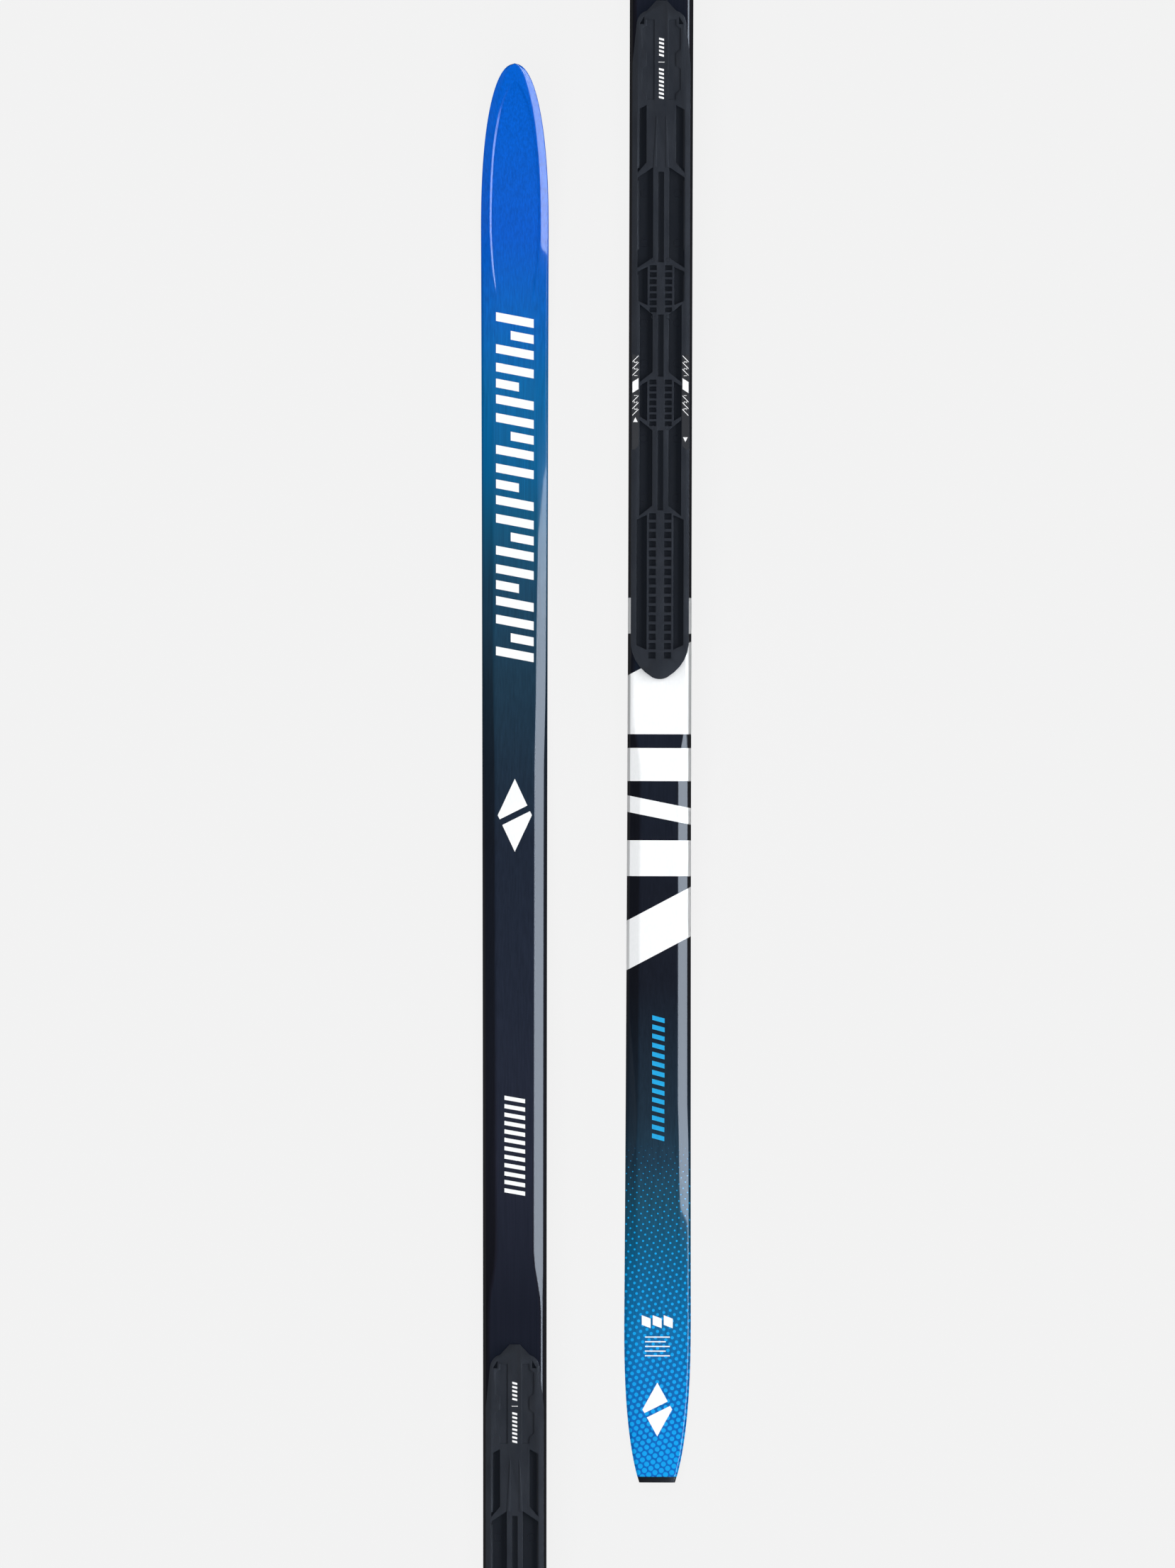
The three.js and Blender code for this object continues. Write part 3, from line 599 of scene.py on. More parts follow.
# %% [markdown]
# ## Closed bars for the sole
# The running base, the edge strips and the tip spacer are flat strips with square edges, bent in the mould.
# A closed section is laid at every row, its seam is welded and both ends are filled. The base has two glide
# grooves and, under the foot, the shallow pocket for the grip skin.


# %% Lay a closed bar
def lay_bar(name, rows, ring):
    """ring(y) gives the (x, z) corners of the section in order; the bar is closed at both ends."""
    sections = {y: ring(y) for y in rows}
    count = len(sections[rows[0]])

    def place(y, column):
        x, z = sections[y][column % count]
        return (x, y, z)

    bar = lay_grid(name, rows, count + 1, place)
    edit(bar)
    bpy.ops.mesh.remove_doubles(threshold=1e-6)
    bpy.ops.mesh.select_all(action="DESELECT")
    bpy.ops.mesh.select_non_manifold()
    bpy.ops.mesh.edge_face_add()
    bpy.ops.mesh.select_all(action="SELECT")
    bpy.ops.mesh.normals_make_consistent(inside=False)
    bpy.ops.object.mode_set(mode="OBJECT")
    return bar


BASE_THICKNESS, EDGE_LEVEL, EDGE_HEIGHT, EDGE_WIDTH = 1.6 * MM, 1.7 * MM, 2 * MM, 3 * MM
SKIN_FRONT, SKIN_REAR, SKIN_HALF, POCKET_DEPTH = 0.150, -0.300, 17 * MM, 1.1 * MM
GROOVE_HALF, GROOVE_DEPTH, STEP = 4 * MM, 0.9 * MM, 0.02 * MM
GROOVES = [(-HALF + 0.060, SKIN_REAR - 0.014), (SKIN_FRONT + 0.014, HALF - 0.250)]


def base_ring(y):
    half, sole = half_width(y), sole_height(y)
    in_pocket = SKIN_REAR < y < SKIN_FRONT
    in_groove = any(start < y < end for start, end in GROOVES)
    pocket = sole + (POCKET_DEPTH if in_pocket else 0)
    middle = sole + (POCKET_DEPTH if in_pocket else GROOVE_DEPTH if in_groove else 0)
    wide, narrow = min(SKIN_HALF, half * 0.7), min(GROOVE_HALF, half * 0.3)
    right = [(narrow, middle), (narrow + STEP, pocket), (wide, pocket), (wide + STEP, sole), (half, sole)]
    left = [(-x, z) for x, z in reversed(right)]
    high = sole + BASE_THICKNESS
    return left + right + [(half, high), (-half, high)]


def strip_ring(left, right):
    """A strip between two places across the ski, each given as a share of the half width and an offset."""
    def ring(y):
        half, low = half_width(y), sole_height(y) + EDGE_LEVEL
        a, b = (share * half + offset for share, offset in (left, right))
        return [(a, low), (b, low), (b, low + EDGE_HEIGHT), (a, low + EDGE_HEIGHT)]
    return ring


def with_steps(rows, *places):
    """Adds a pair of rows close together at each place, so a recess can end there with a crisp wall."""
    return sorted(set(rows) | {p - STEP for p in places} | {p + STEP for p in places})


# %% The running base, the edge strips and the tip spacer
def sintered_base():
    finish = Finish("sintered_base", Specular_IOR_Level=0.4)
    grind = finish.noise(finish.scaled(5200, 22, 5200), 2.0)
    grains = finish.noise(finish.scaled(700, 700, 700), 3.0)
    tone = finish.mix(grains, (0.008, 0.008, 0.009, 1), (0.020, 0.020, 0.022, 1))
    finish.colour(finish.mix(finish.math("MULTIPLY", grind, 0.3), tone, (0.05, 0.05, 0.054, 1)))
    finish.rough(finish.spread(grind, 0.28, 0.55))
    finish.bump(grind, 0.35, 0.06 * MM)
    return finish.material


def plain_plastic(name, dark, light, rough):
    """Moulded or rolled plastic: a fine grain in colour, in roughness and in the surface."""
    finish = Finish(name, Specular_IOR_Level=0.4)
    grain = finish.noise(finish.scaled(1500, 1500, 1500), 2.0)
    patches = finish.noise(finish.scaled(60, 25, 60), 3.0)
    share = finish.math("MULTIPLY_ADD", grain, 0.5, finish.math("MULTIPLY", patches, 0.5))
    finish.colour(finish.mix(share, dark, light))
    finish.rough(finish.spread(patches, rough - 0.06, rough + 0.08))
    finish.bump(grain, 0.25, 0.05 * MM)
    return finish.material


steps = [SKIN_REAR, SKIN_FRONT, *(place for groove in GROOVES for place in groove)]
base = lay_bar("sole_base", with_steps(rows, *steps), base_ring)
finish_piece(base, sintered_base(), "sintered_base", "running_base")
edge_finish = plain_plastic("edge_plastic", (0.010, 0.010, 0.012, 1), (0.022, 0.022, 0.025, 1), 0.36)
edge_rows = rows_between(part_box("left_edge_strip")[0].y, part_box("left_edge_strip")[1].y)
for side, hand in ((-1, "left"), (1, "right")):
    strip = lay_bar(f"sole_edge_{hand}", edge_rows, strip_ring((side, -side * EDGE_WIDTH), (side, 0)))
    finish_piece(strip, edge_finish, "edge_plastic", f"{hand}_edge_strip")
spacer_finish = plain_plastic("spacer_plastic", (0.020, 0.021, 0.024, 1), (0.034, 0.035, 0.039, 1), 0.42)
spacer_rows = rows_between(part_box("tip_spacer")[0].y, HALF)
spacer = lay_bar("nose_spacer", spacer_rows, strip_ring((-1, 0), (1, 0)))
finish_piece(spacer, spacer_finish, "spacer_plastic", "tip_spacer")

# %% [markdown]
# ## The grip skin
# The skin is mohair: a woven backing with short hairs that all lean towards the tail, so the ski slides
# forward and grips when it is pushed back. Single hairs can't come from a primitive, so they are written as
# small blades, each rooted in the backing, leaning back and turned a little by a seeded random number.

# %% Backing and leaning hairs
SKIN_FIT = 0.3 * MM
PILE_TOP, PILE_MAT = 0.6 * MM, 0.45 * MM
HAIR_REACH, HAIR_LEAN, HAIR_HALF_WIDTH = 0.95 * MM, 0.9 * MM, 0.16 * MM
TUFTS_ACROSS, TUFTS_ALONG = 52, 620
chance = np.random.default_rng(7)


def mat_ring(y):
    half, sole = SKIN_HALF - SKIN_FIT, sole_height(y)
    return [(-half, sole + PILE_TOP - PILE_MAT), (half, sole + PILE_TOP - PILE_MAT),
            (half, sole + PILE_TOP), (-half, sole + PILE_TOP)]


def hairs():
    """One blade of two triangles for each tuft: a foot in the backing and a tip that leans back."""
    points, faces = [], []
    width, length = 2 * (SKIN_HALF - SKIN_FIT - 0.5 * MM), SKIN_FRONT - SKIN_REAR - 4 * MM
    jitter = chance.uniform(-0.5, 0.5, (TUFTS_ALONG, TUFTS_ACROSS, 4))
    for i in range(TUFTS_ALONG):
        for j in range(TUFTS_ACROSS):
            dx, dy, turn, longer = jitter[i, j]
            x = (-0.5 + (j + 0.5 + 0.8 * dx) / TUFTS_ACROSS) * width
            y = SKIN_REAR + 3 * MM + (i + 0.5 + 0.8 * dy) / TUFTS_ALONG * length
            root = sole_height(y) + PILE_TOP - PILE_MAT + 0.05 * MM
            lean = HAIR_LEAN * (1 + 0.4 * longer)
            tip = (x + 0.3 * MM * turn, y - lean, root - HAIR_REACH * 0.5 * (1 + 0.4 * longer))
            first = len(points)
            feet = [(x - HAIR_HALF_WIDTH, y, root), (x + HAIR_HALF_WIDTH, y, root)]
            points += [*feet, tip, (x, y - 0.45 * lean, root)]
            faces += [(first, first + 1, first + 2), (first, first + 3, first + 2)]
    mesh = bpy.data.meshes.new("mohair_hairs")
    mesh.from_pydata(points, [], faces)
    piece = bpy.data.objects.new("mohair_hairs", mesh)
    bpy.context.scene.collection.objects.link(piece)
    return piece


def mohair_finish():
    finish = Finish("mohair", Roughness=0.85, Sheen_Weight=0.5, Sheen_Roughness=0.4, Specular_IOR_Level=0.15)
    strands = finish.noise(finish.scaled(1800, 260, 1800), 2.0)
    patches = finish.noise(finish.scaled(70, 40, 70), 2.0)
    tone = finish.mix(strands, (0.045, 0.048, 0.056, 1), (0.19, 0.20, 0.22, 1))
    finish.colour(finish.mix(finish.math("MULTIPLY", patches, 0.35), tone, (0.09, 0.095, 0.11, 1)))
    finish.bump(strands, 0.6, 0.15 * MM)
    return finish.material


def joined(name, pieces):
    bpy.ops.object.select_all(action="DESELECT")
    for piece in pieces:
        piece.select_set(True)
    bpy.context.view_layer.objects.active = pieces[0]
    if len(pieces) > 1:
        bpy.ops.object.join()
    pieces[0].name = pieces[0].data.name = name
    return pieces[0]


mat_rows = rows_between(SKIN_REAR + SKIN_FIT, SKIN_FRONT - SKIN_FIT)
skin = joined("grip_skin", [lay_bar("skin_mat", mat_rows, mat_ring), hairs()])
finish_piece(skin, mohair_finish(), "mohair", "skin_pile")

# %% [markdown]
# ## The binding plate
# The plate is one moulding in glass filled nylon: side rails, a rib with a channel down the middle, slanted
# bars that stiffen it, and racks of pockets that a binding locks into. The frame's plate has all of that
# with square edges. A copy is welded and cleaned, the toe recesses are widened with boolean cuts, every edge
# is rounded with a bevel, and the rings that the mould's ejector pins leave are added as thin tori.


# %% Prisms from plan outlines
def prism(name, outline, low, high):
    """A flat outline in plan, extruded up: a filled circle with its points moved, then extruded."""
    bpy.ops.mesh.primitive_circle_add(vertices=len(outline), fill_type="NGON")
    piece = bpy.context.active_object
    piece.name = piece.data.name = name
    for vertex, (x, y) in zip(piece.data.vertices, outline):
        vertex.co = (x, y, low)
    edit(piece)
    bpy.ops.mesh.extrude_region_move(TRANSFORM_OT_translate={"value": (0, 0, high - low)})
    bpy.ops.mesh.select_all(action="SELECT")
    bpy.ops.mesh.normals_make_consistent(inside=False)
    bpy.ops.object.mode_set(mode="OBJECT")
    return piece


def carved(piece, cutters, operation="DIFFERENCE"):
    cutter = joined("cutter", cutters)
    modify(piece, "BOOLEAN", object=cutter, operation=operation, solver="EXACT")
    bpy.data.objects.remove(cutter)


def welded_copy(name, node):
    piece = film_copy(name, nodes[node])
    edit(piece)
    bpy.ops.mesh.remove_doubles(threshold=1e-6)
    bpy.ops.mesh.dissolve_limited(angle_limit=math.radians(0.5))
    bpy.ops.mesh.normals_make_consistent(inside=False)
    bpy.ops.object.mode_set(mode="OBJECT")
    return piece


def behind_nose(*points):
    """Plan points in millimetres, each (across, behind the plate's nose), in the ski's own frame."""
    return [(x * MM, PLATE_FRONT - y * MM) for x, y in points]


PLATE_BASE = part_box("binding_plate")[0].z
PLATE_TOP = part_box("binding_plate")[1].z
RECESS_FLOOR = PLATE_BASE + 1.4 * MM
TOE_FLOOR = PLATE_TOP - 0.8 * MM
PIN_RING, PIN_WIRE = 2.7 * MM, 0.16 * MM

plate = welded_copy("mounting_plate", "binding_plate")
cutters = []
for side in (-1, 1):
    inner, outer = side * 5.2, side * 14.1
    for front in (14.5, 43.7):
        outline = behind_nose((inner, front), (outer, front + 5.9), (outer, front + 21), (inner, front + 28))
        cutters.append(prism("hexagon", outline, TOE_FLOOR, PLATE_TOP + 1 * MM))
    wedge = behind_nose((side * 12.6, 11.5), (side * 15.9, 17.2), (side * 12.6, 17.2))
    cutters.append(prism("wedge", wedge, RECESS_FLOOR, PLATE_TOP + 1 * MM))
carved(plate, cutters)
LAND_TOP = PLATE_TOP - 1.1 * MM
lands = []
for side in (-1, 1):
    inner, outer = side * 16.1, side * 17.3
    ledge = behind_nose((side * 15.9, 77.5), (outer, 78), (outer, 122), (side * 15.9, 121.4))
    lands.append(prism("ledge", ledge, RECESS_FLOOR - 0.2 * MM, LAND_TOP))
    for front, rear in ((131, 181), (199, 221), (238, 254)):
        ledge = behind_nose((inner, front), (outer, front), (outer, rear), (inner, rear))
        lands.append(prism("ledge", ledge, RECESS_FLOOR - 0.2 * MM, LAND_TOP))
    taper = behind_nose((side * 3.6, 84), (side * 5.6, 121), (side * 3.4, 121), (side * 3.2, 84))
    lands.append(prism("rib", taper, PLATE_TOP - 0.3 * MM, PLATE_TOP + 0.35 * MM))
carved(plate, lands, "UNION")
plate.data.polygons.foreach_set("use_smooth", [True] * len(plate.data.polygons))
modify(
    plate, "BEVEL", width=0.75 * MM, segments=3, limit_method="ANGLE", angle_limit=math.radians(30),
    harden_normals=True, use_clamp_overlap=True,
)
print("plate faces", len(plate.data.polygons))


# %% Pin marks
def ring_mark(x, behind, height, radius=PIN_RING):
    bpy.ops.mesh.primitive_torus_add(
        major_radius=radius, minor_radius=PIN_WIRE, major_segments=32, minor_segments=6,
        location=(x * MM, PLATE_FRONT - behind * MM, height),
    )
    mark = bpy.context.active_object
    bpy.ops.object.transform_apply(location=True)
    return mark


pins = [(side * 12.0, behind) for side in (-1, 1) for behind in (140, 176, 234, 263.5, 318, 361)]
marks = [ring_mark(x, behind, RECESS_FLOOR) for x, behind in pins]
for side in (-1, 1):
    marks += [ring_mark(side * 5.2, behind, PLATE_TOP, 1.3 * MM) for behind in (188.3, 229.8, 310)]
    marks.append(ring_mark(side * 12.0, 249, RECESS_FLOOR, 1.5 * MM))
joined("mounting_plate", [plate, *marks])


def moulded_black():
    finish = Finish("moulded_black", Specular_IOR_Level=0.6)
    grain = finish.noise(finish.scaled(2600, 2600, 2600), 2.0)
    flow = finish.noise(finish.scaled(140, 50, 140), 3.0)
    share = finish.math("MULTIPLY_ADD", grain, 0.45, finish.math("MULTIPLY", flow, 0.55))
    tone = finish.mix(share, (0.012, 0.014, 0.019, 1), (0.027, 0.031, 0.040, 1))
    # Painted shade: the colour darkens with depth below the plate's top, to its darkest on the recess floors
    # and in the pockets.
    height = finish.spread(finish.axes()[2], 0.0, 1.0, PLATE_BASE + 1.2 * MM, PLATE_TOP - 0.5 * MM)
    finish.colour(finish.mix(height, (0.007, 0.008, 0.011, 1), tone))
    finish.rough(finish.spread(flow, 0.27, 0.4))
    finish.bump(grain, 0.3, 0.04 * MM)
    return finish.material


plate_finish = moulded_black()
finish_piece(plate, plate_finish, "moulded_black", "binding_plate")

# %% [markdown]
# ## The tail protector
# A block of the same black nylon closes the tail. Its outer corners are rounded so it can't split when the
# ski is stood up.

# %% Round the protector's edges
protector = welded_copy("tail_block", "tail_protector")
modify(protector, "BEVEL", width=0.9 * MM, segments=3, limit_method="ANGLE", angle_limit=math.radians(40))
smooth_shaded(protector, 35)
finish_piece(protector, plate_finish, "moulded_black", "tail_protector")

# %% [markdown]
# ## Printed marks
# The marks are screen printed over the sheet, most in white and one row in cyan. Each one is cut out of a
# copy of the sheet's outer face with upright planes, so it lies on the deck, the bevel and the side wall
# alike, and is lifted by the print's thickness. They are plain bars, bands and lozenges.

# %% Cut a mark from the film
PRINT_LIFT = 0.035 * MM


def stamp(outline, *more_planes):
    """A convex outline in millimetres cut from the film; each further plane is (point, outward direction)."""
    points = [Vector((x * MM, y * MM, 0)) for x, y in outline]
    middle = sum(points, Vector()) / len(points)
    piece = film_copy("mark", print_film)
    low, high = min(p.y for p in points), max(p.y for p in points)
    planes = [(Vector((0, low, 0)), Vector((0, -1, 0))), (Vector((0, high, 0)), Vector((0, 1, 0)))]
    for a, b in zip(points, points[1:] + points[:1]):
        outward = (b - a).cross(Vector((0, 0, 1)))
        if outward.dot(a - middle) < 0:
            outward = -outward
        planes.append((a, outward.normalized()))
    planes += [(Vector((x * MM, y * MM, 0)), Vector((dx, dy, 0))) for (x, y), (dx, dy) in more_planes]
    for place, outward in planes:
        cut(piece, place, outward)
    pushed_out(piece, PRINT_LIFT)
    return piece


def bar(left, right, top, thickness, fall=0.0):
    """A bar across the ski; its right end lies `fall` lower than its left end."""
    return [(left, top), (right, top - fall), (right, top - fall - thickness), (left, top - thickness)]


def printed_ink(name, dark, light):
    finish = Finish(name, Coat_Weight=0.6, Coat_Roughness=0.07, Specular_IOR_Level=0.12, Roughness=0.4)
    screen_grain = finish.noise(finish.scaled(900, 300, 900), 3.0)
    finish.colour(finish.mix(screen_grain, dark, light))
    finish.rough(finish.spread(screen_grain, 0.34, 0.46))
    return finish.material


white_ink = printed_ink("white_ink", (0.80, 0.82, 0.83, 1), (0.90, 0.91, 0.92, 1))
cyan_ink = printed_ink("cyan_ink", (0.01, 0.30, 0.62, 1), (0.02, 0.38, 0.72, 1))


def printed(name, stamps, ink=white_ink):
    mark = joined(name, stamps)
    smooth_shaded(mark, 40)
    finish_piece(mark, ink, "gloss_topsheet")


# %% The bars on the forebody
FIRST_BAR, GROUPS, GROUP_PITCH, BAR_PITCH = 823, 7, 36.6, 11.6
BAR_HALF, BAR_THICKNESS, BAR_FALL = 13.7, 6.4, 5.2
front_bars = []
for group in range(GROUPS):
    for i in range(3):
        left = -BAR_HALF if i != 1 or group % 2 else -3.0
        right = BAR_HALF if i != 1 or group % 2 == 0 else 3.0
        slope = BAR_FALL / (2 * BAR_HALF)
        top = FIRST_BAR - group * GROUP_PITCH - i * BAR_PITCH - slope * (left + BAR_HALF)
        front_bars.append(bar(left, right, top, BAR_THICKNESS, slope * (right - left)))
printed("front_bars", [stamp(outline) for outline in front_bars])


def lozenge(middle, long_half, wide_half, gap):
    outline = [(0, middle + long_half), (wide_half, middle), (0, middle - long_half), (-wide_half, middle)]
    slant = Vector((-0.5, 1)).normalized()
    parts = []
    for way in (1, -1):
        point = (0, middle + way * gap / 2)
        parts.append(stamp(outline, (point, (-way * slant.x, -way * slant.y))))
    return parts


printed("front_lozenge", lozenge(457.5, 26.5, 12.4, 5.0))
printed("small_bars", [stamp(bar(-7.5, 7.5, 254 - i * 6.1, 3.0, 2.6)) for i in range(12)])

# %% The bands on the afterbody
EDGE = 30  # mm, beyond the ski's sides
bands = [bar(left, right, -360, 26) for left, right in ((-EDGE, -18.2), (18.2, EDGE))]
bands.append([(-EDGE, -420), (EDGE, -388), (EDGE, -459), (-EDGE, -459)])
bands.append(bar(-EDGE, EDGE, -469, 24))
bands.append(bar(-EDGE, EDGE, -502, 12, 12))
bands.append(bar(-EDGE, EDGE, -536, 26))
bands.append([(EDGE, -566), (EDGE, -602), (-EDGE, -634), (-EDGE, -598)])
printed("rear_bands", [stamp(outline) for outline in bands])
printed("rear_bars", [stamp(bar(-4.5, 4.5, -663 - i * 6.6, 3.4, 2.4)) for i in range(14)], cyan_ink)
printed("size_bars", [stamp(bar(-11.5 + 8 * i, -5 + 8 * i, -881, 7, 2.5)) for i in range(3)])
printed("fine_lines", [stamp(bar(-9, 9 - 3 * (i % 2), -896.5 - 3.4 * i, 0.8)) for i in range(5)])
printed("tail_lozenge", lozenge(-949.5, 19.5, 10.8, 4.0))

# %% [markdown]
# ## The scale labels
# Two printed pads on the plate's rails show how far a binding is set forward or back. Each has two slanted
# corners, slanted ticks with the numbers 1 to 3 on either side of a white middle mark, and a small triangle.


# %% Pads, ticks and numbers
LABEL_PRINT = 0.03 * MM
DIGIT_SIZE = 3.4 * MM
TICK_PITCH, TICK_HALF = 4.9 * MM, 0.35 * MM
MARK_HALF, MARK_SLANT, ZERO_HALF = 2.2 * MM, 1.4 * MM, 4 * MM
ZERO_BEHIND, FIRST_DIGIT = 22.5 * MM, 7.2 * MM  # the middle mark behind the pad's front, the 1 from the mark
ARROW_HALF, ARROW_LENGTH = 1.7 * MM, 3.4 * MM


def label_outline(box, side):
    """The pad in plan, its two inner corners cut on a slant."""
    inner, outer = (box[0].x, box[1].x) if side > 0 else (box[1].x, box[0].x)
    low, high, cut_off = box[0].y, box[1].y, 3 * MM * side
    return [(inner, high - abs(cut_off)), (inner + cut_off, high), (outer, high), (outer, low),
            (inner + cut_off, low), (inner, low + abs(cut_off))]


def digit(text, x, y, z, turn):
    bpy.ops.object.text_add(location=(0, 0, 0))
    letter = bpy.context.active_object
    letter.data.body, letter.data.size = text, DIGIT_SIZE
    letter.data.align_x, letter.data.align_y = "CENTER", "CENTER"
    bpy.ops.object.convert(target="MESH")
    edit(letter)
    bpy.ops.transform.rotate(value=turn, orient_axis="Z", center_override=(0, 0, 0))
    bpy.ops.transform.translate(value=(x, y, z))
    bpy.ops.object.mode_set(mode="OBJECT")
    return letter


def flat_mark(outline, z):
    return prism("flat_mark", outline, z, z + LABEL_PRINT)


def slanted_mark(x, y, thick_half, slant, z):
    """A mark across the pad whose right end lies 2 × slant ahead of its left end."""
    left, right = x - MARK_HALF, x + MARK_HALF
    front, rear = y + thick_half, y - thick_half
    outline = [(left, front - slant), (right, front + slant), (right, rear + slant), (left, rear - slant)]
    return flat_mark(outline, z)


label_finish = plain_plastic("label_film", (0.020, 0.021, 0.024, 1), (0.030, 0.031, 0.035, 1), 0.38)
label_ink = printed_ink("label_ink", (0.80, 0.81, 0.82, 1), (0.90, 0.90, 0.91, 1))
rib_marks = []
for start, count in ((27, 5), (49, 8)):
    for i in range(count):
        behind = start + 2.9 * i
        outline = behind_nose((-1.8, behind), (1.8, behind + 0.9), (1.8, behind + 2.4), (-1.8, behind + 1.5))
        rib_marks.append(flat_mark(outline, PLATE_TOP))
rib_marks.append(flat_mark(behind_nose((-2.2, 44.6), (2.2, 44.6), (2.2, 45.0), (-2.2, 45.0)), PLATE_TOP))
finish_piece(joined("rib_print", rib_marks), label_ink, "label_print")
for side, node in ((-1, "left_scale_label"), (1, "right_scale_label")):
    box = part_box(node)
    middle_x, top = (box[0].x + box[1].x) / 2, box[1].z
    pad = prism(node.replace("label", "pad"), label_outline(box, side), box[0].z, top)
    finish_piece(pad, label_finish, "label_print", node)
    zero_y = box[1].y - ZERO_BEHIND
    slant = -side * MARK_SLANT
    prints = [slanted_mark(middle_x, zero_y, ZERO_HALF, slant, top)]
    for way in (1, -1):
        for i in range(3):
            y = zero_y + way * (FIRST_DIGIT + TICK_PITCH * i)
            prints.append(digit(str(i + 1), middle_x, y, top + LABEL_PRINT, -side * math.pi / 2))
            prints.append(slanted_mark(middle_x, y + way * TICK_PITCH / 2, TICK_HALF, 1.6 * slant, top))
    base_y = box[0].y + (20 if side < 0 else 9) * MM
    foot = [(middle_x - ARROW_HALF, base_y), (middle_x + ARROW_HALF, base_y)]
    prints.append(flat_mark([*foot, (middle_x, base_y - side * ARROW_LENGTH)], top))
    scale_print = joined(node.replace("label", "print"), prints)
    finish_piece(scale_print, label_ink, "label_print")

# %% [markdown]
# ## Finishes for the hidden layers
# The core strips, wedges, reinforcement, films and lower laminate keep the frame's shapes, because they are
# plain sheets and sawn strips. They still get what such layers are made of: wood grain along the ski, woven
# glass, dark phenolic sheet and adhesive.


# %% Wood, sheet and adhesive
def core_wood():
    finish = Finish("core_wood", Roughness=0.62, Specular_IOR_Level=0.3)
    grain = finish.noise(finish.scaled(420, 9, 420), 5.0, 0.62)
    rings = finish.math("SINE", finish.math("MULTIPLY", finish.noise(finish.scaled(60, 2.4, 60), 2.0), 60.0))
    tone = finish.mix(finish.spread(rings, 0.0, 1.0, -1.0, 1.0), (0.42, 0.27, 0.13, 1), (0.62, 0.45, 0.26, 1))
    finish.colour(finish.mix(finish.math("MULTIPLY", grain, 0.5), tone, (0.28, 0.16, 0.07, 1)))
    finish.bump(grain, 0.4, 0.1 * MM)
    return finish.material


def carry_over(material, *names):
    for name in names:
        nodes[name].material_slots[0].material = material
        print("kept", name, "with", material.name)


carry_over(core_wood(), *(name for name in nodes if name.startswith("core_")))
carry_over(spacer_finish, "front_core_wedge", "rear_core_wedge")
carry_over(woven_glass(), "lower_laminate")
phenolic = plain_plastic("phenolic_sheet", (0.05, 0.028, 0.015, 1), (0.11, 0.06, 0.03, 1), 0.45)
carry_over(phenolic, "binding_reinforcement")
bond = plain_plastic("bond_film", (0.20, 0.20, 0.19, 1), (0.32, 0.32, 0.30, 1), 0.5)
carry_over(bond, "plate_bond_film")
adhesive = plain_plastic("skin_adhesive", (0.40, 0.27, 0.09, 1), (0.55, 0.40, 0.17, 1), 0.35)
carry_over(adhesive, "skin_tape")

# %% [markdown]
# ## A second showing of the same ski
# The ski is forty times as long as it is wide, so it is shown in two halves laid side by side. The second
# one is a staged copy: it shares the pieces' meshes, is turned by a small angle and moved so the rear half
# lies beside the front half. Like the floor, it is part of the staging and not of the object.

# %% Stage the copy
COPY_TURN = math.radians(-0.176)
COPY_SHIFT = Vector((0.10641, 0.97531, 0))


def staged_copy(piece):
    copy = bpy.data.objects.new(piece.name + "_shown_again", piece.data)
    bpy.context.scene.collection.objects.link(copy)
    copy.rotation_euler = (0, 0, COPY_TURN)
    copy.location = COPY_SHIFT
    copy.visible_glossy = False
    return copy


def group(name, members):
    """A collection that lamps are linked to, so that each showing is lit as if it lay there alone."""
    collection = bpy.data.collections.new(name)
    for member in members:
        collection.objects.link(member)
    return collection


showings = [group("first_showing", finished), group("second_showing", [staged_copy(p) for p in finished])]
print("pieces", len(finished))

# %% [markdown]
# ## Floor, light and camera
# A broad lamp overhead lights the prints evenly and isn't mirrored, because the deck mirrors what is
# straight above it and that has to stay dark. Only a faint bluish glow at the zenith shows in the deck.
# Three more lamps stand low beside the ski. The edge lamp on the right only gives the highlights on the
# right shoulder and side wall. The side lamp by it casts the small shadows in the plate's recesses. The far
# lamp on the left lights the prints on the left shoulder, and not the plate. Each showing of the ski has its
# own three, linked to it, so that neither showing shades the other.

# %% The studio
FLOOR_TONE = screen(242, 242, 242)
FLOOR_GLOW = 0.962  # the floor's own share of its tone, the rest is lamp light


def studio_floor():
    bpy.ops.mesh.primitive_plane_add(size=180)
    floor = bpy.context.active_object
    floor.name = "studio_floor"
    tone = Finish("pale_floor", Roughness=0.9, Specular_IOR_Level=0.0)
    speck = tone.noise(tone.scaled(3, 3, 3), 2.0)
    tone.colour(tone.mix(speck, (0.070, 0.070, 0.070, 1), (0.071, 0.071, 0.071, 1)))
    tone.shader.inputs["Emission Color"].default_value = FLOOR_TONE
    seen = tone.add("ShaderNodeLightPath").outputs["Is Camera Ray"]
    tone.feed(tone.math("MULTIPLY", seen, FLOOR_GLOW), tone.shader.inputs["Emission Strength"])
    floor.data.materials.append(tone.material)


AIM = (0, 0.1, 0)  # near the ski's middle


def lamp(name, place, length, height, power, tint=(1, 1, 1)):
    """A rectangular lamp: its length lies along the ski."""
    light = bpy.data.lights.new(name, "AREA")
    light.shape, light.size, light.size_y, light.energy = "RECTANGLE", length, height, power
    light.color = tint
    holder = bpy.data.objects.new(name, light)
    bpy.context.scene.collection.objects.link(holder)
    holder.location = place
    holder.rotation_euler = (Vector(AIM) - Vector(place)).to_track_quat("-Z", "Y").to_euler()
    holder.visible_camera = False
    return holder


ZENITH_START = 0.975  # height on the sky's unit sphere where the glow begins
ZENITH_GLOW = (0.07, 0.14, 0.26, 1)


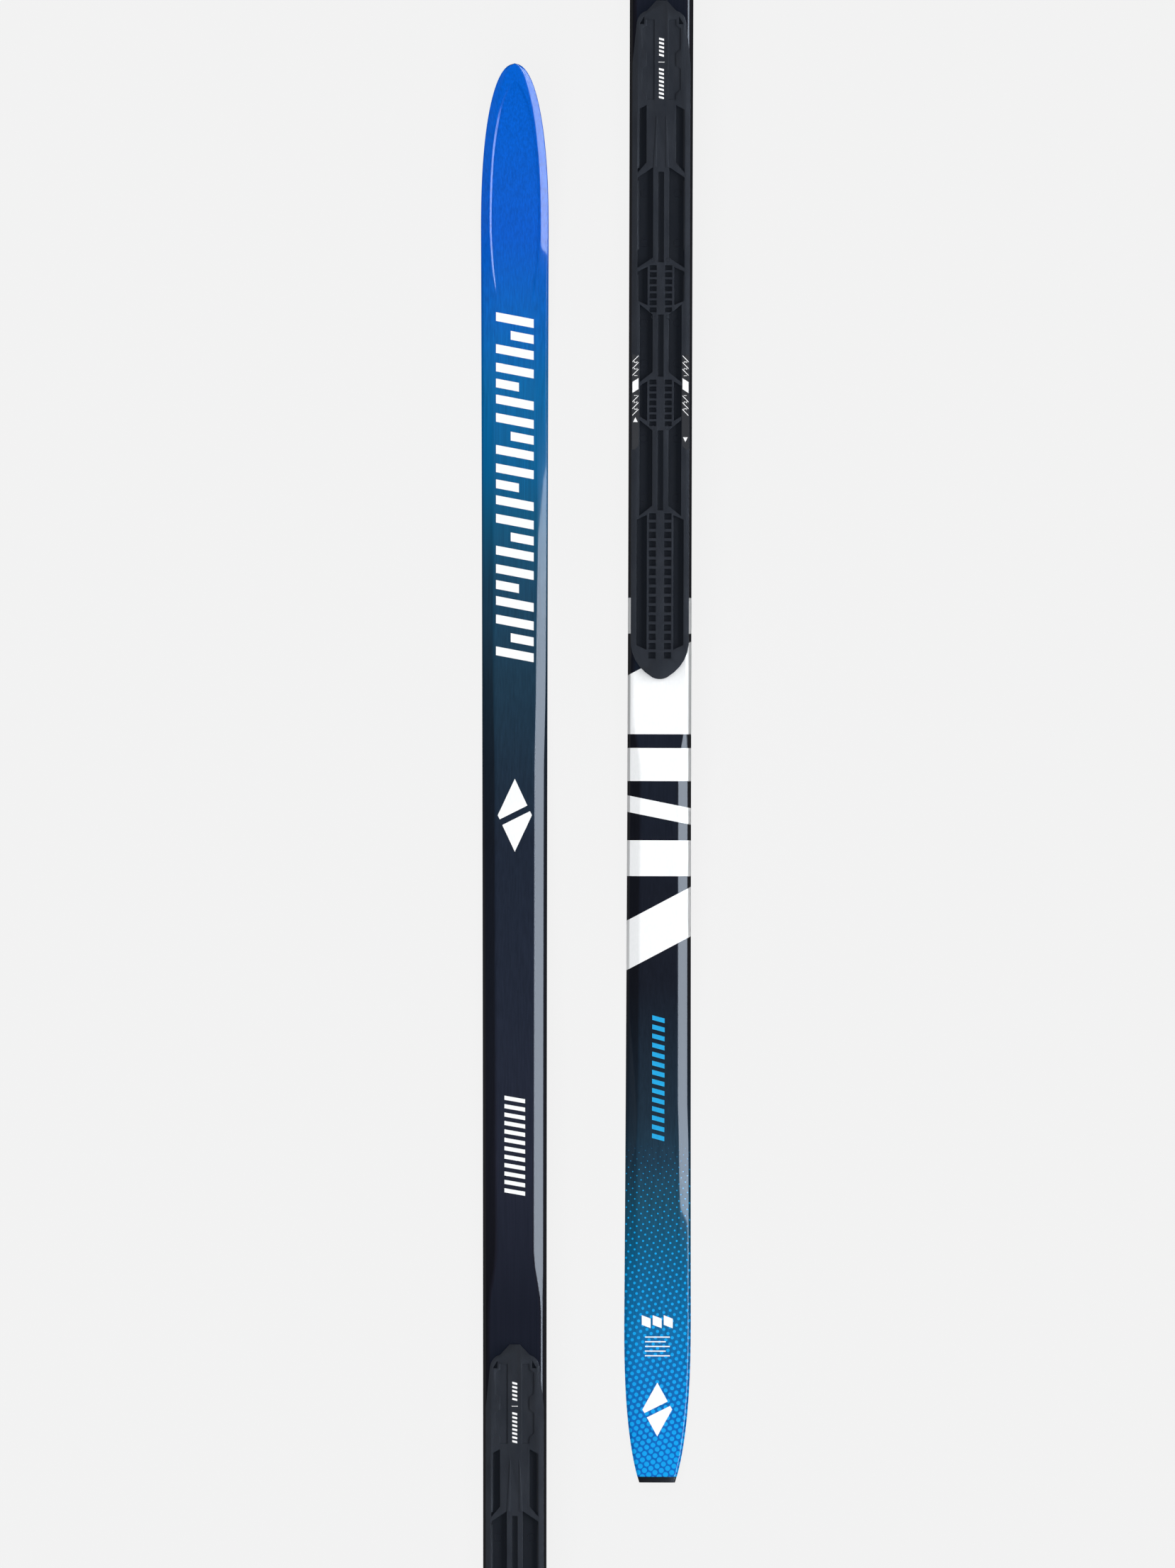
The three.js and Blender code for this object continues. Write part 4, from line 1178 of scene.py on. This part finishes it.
def world_light():
    world = bpy.data.worlds.new("studio")
    world.use_nodes = True
    tree = world.node_tree
    background = tree.nodes["Background"]
    place = tree.nodes.new("ShaderNodeTexCoord")
    split = tree.nodes.new("ShaderNodeSeparateXYZ")
    tree.links.new(place.outputs["Generated"], split.inputs[0])
    zenith = tree.nodes.new("ShaderNodeMapRange")
    zenith.inputs["From Min"].default_value = ZENITH_START
    tree.links.new(split.outputs["Z"], zenith.inputs["Value"])
    glow = tree.nodes.new("ShaderNodeMix")
    glow.data_type = "RGBA"
    glow.inputs[6].default_value = (0.03, 0.031, 0.033, 1)
    glow.inputs[7].default_value = ZENITH_GLOW
    tree.links.new(zenith.outputs[0], glow.inputs[0])
    tree.links.new(glow.outputs[2], background.inputs["Color"])
    shown = tree.nodes.new("ShaderNodeBackground")
    shown.inputs["Color"].default_value = FLOOR_TONE
    seen = tree.nodes.new("ShaderNodeLightPath")
    mixed = tree.nodes.new("ShaderNodeMixShader")
    tree.links.new(seen.outputs["Is Camera Ray"], mixed.inputs[0])
    tree.links.new(background.outputs[0], mixed.inputs[1])
    tree.links.new(shown.outputs[0], mixed.inputs[2])
    tree.links.new(mixed.outputs[0], tree.nodes["World Output"].inputs["Surface"])
    bpy.context.scene.world = world


studio_floor()
world_light()
fill_lamp = lamp("top_lamp", (-0.6, 0.1, 7.2), 10.0, 6.0, 345)
fill_lamp.visible_glossy = False
for showing in showings:
    edge_lamp = lamp("edge_lamp", (6.0, 0.1, 3.1), 12.0, 4.4, 1250, (0.86, 0.98, 1.14))
    edge_lamp.visible_diffuse = False
    side_lamp = lamp("side_lamp", (6.0, 0.1, 4.0), 10.0, 2.0, 520)
    side_lamp.visible_glossy = False
    far_lamp = lamp("far_lamp", (-6.0, 0.1, 3.0), 10.0, 2.0, 370)
    far_lamp.visible_glossy = False
    body = group("body", [p for p in showing.objects if not p.name.startswith("mounting_plate")])
    for holder, lit in ((edge_lamp, showing), (side_lamp, showing), (far_lamp, body)):
        holder.light_linking.receiver_collection = lit
        holder.light_linking.blocker_collection = showing

# %% The camera looks straight down
VIEW_HEIGHT = 1.1379  # what the frame shows from bottom to top
CAMERA_X, CAMERA_Y, CAMERA_Z = 0.0528, 0.4802, 36.0
camera_data = bpy.data.cameras.new("camera")
camera_data.sensor_width = 36
camera_data.lens = camera_data.sensor_width * (CAMERA_Z - DECK_Z) / VIEW_HEIGHT
camera_data.clip_end = 200
camera = bpy.data.objects.new("camera", camera_data)
bpy.context.scene.collection.objects.link(camera)
camera.location = (CAMERA_X, CAMERA_Y, CAMERA_Z)
bpy.context.scene.camera = camera
bpy.context.scene.view_settings.view_transform = "Standard"

# %% Remove what was only a tool
bpy.data.objects.remove(print_film)
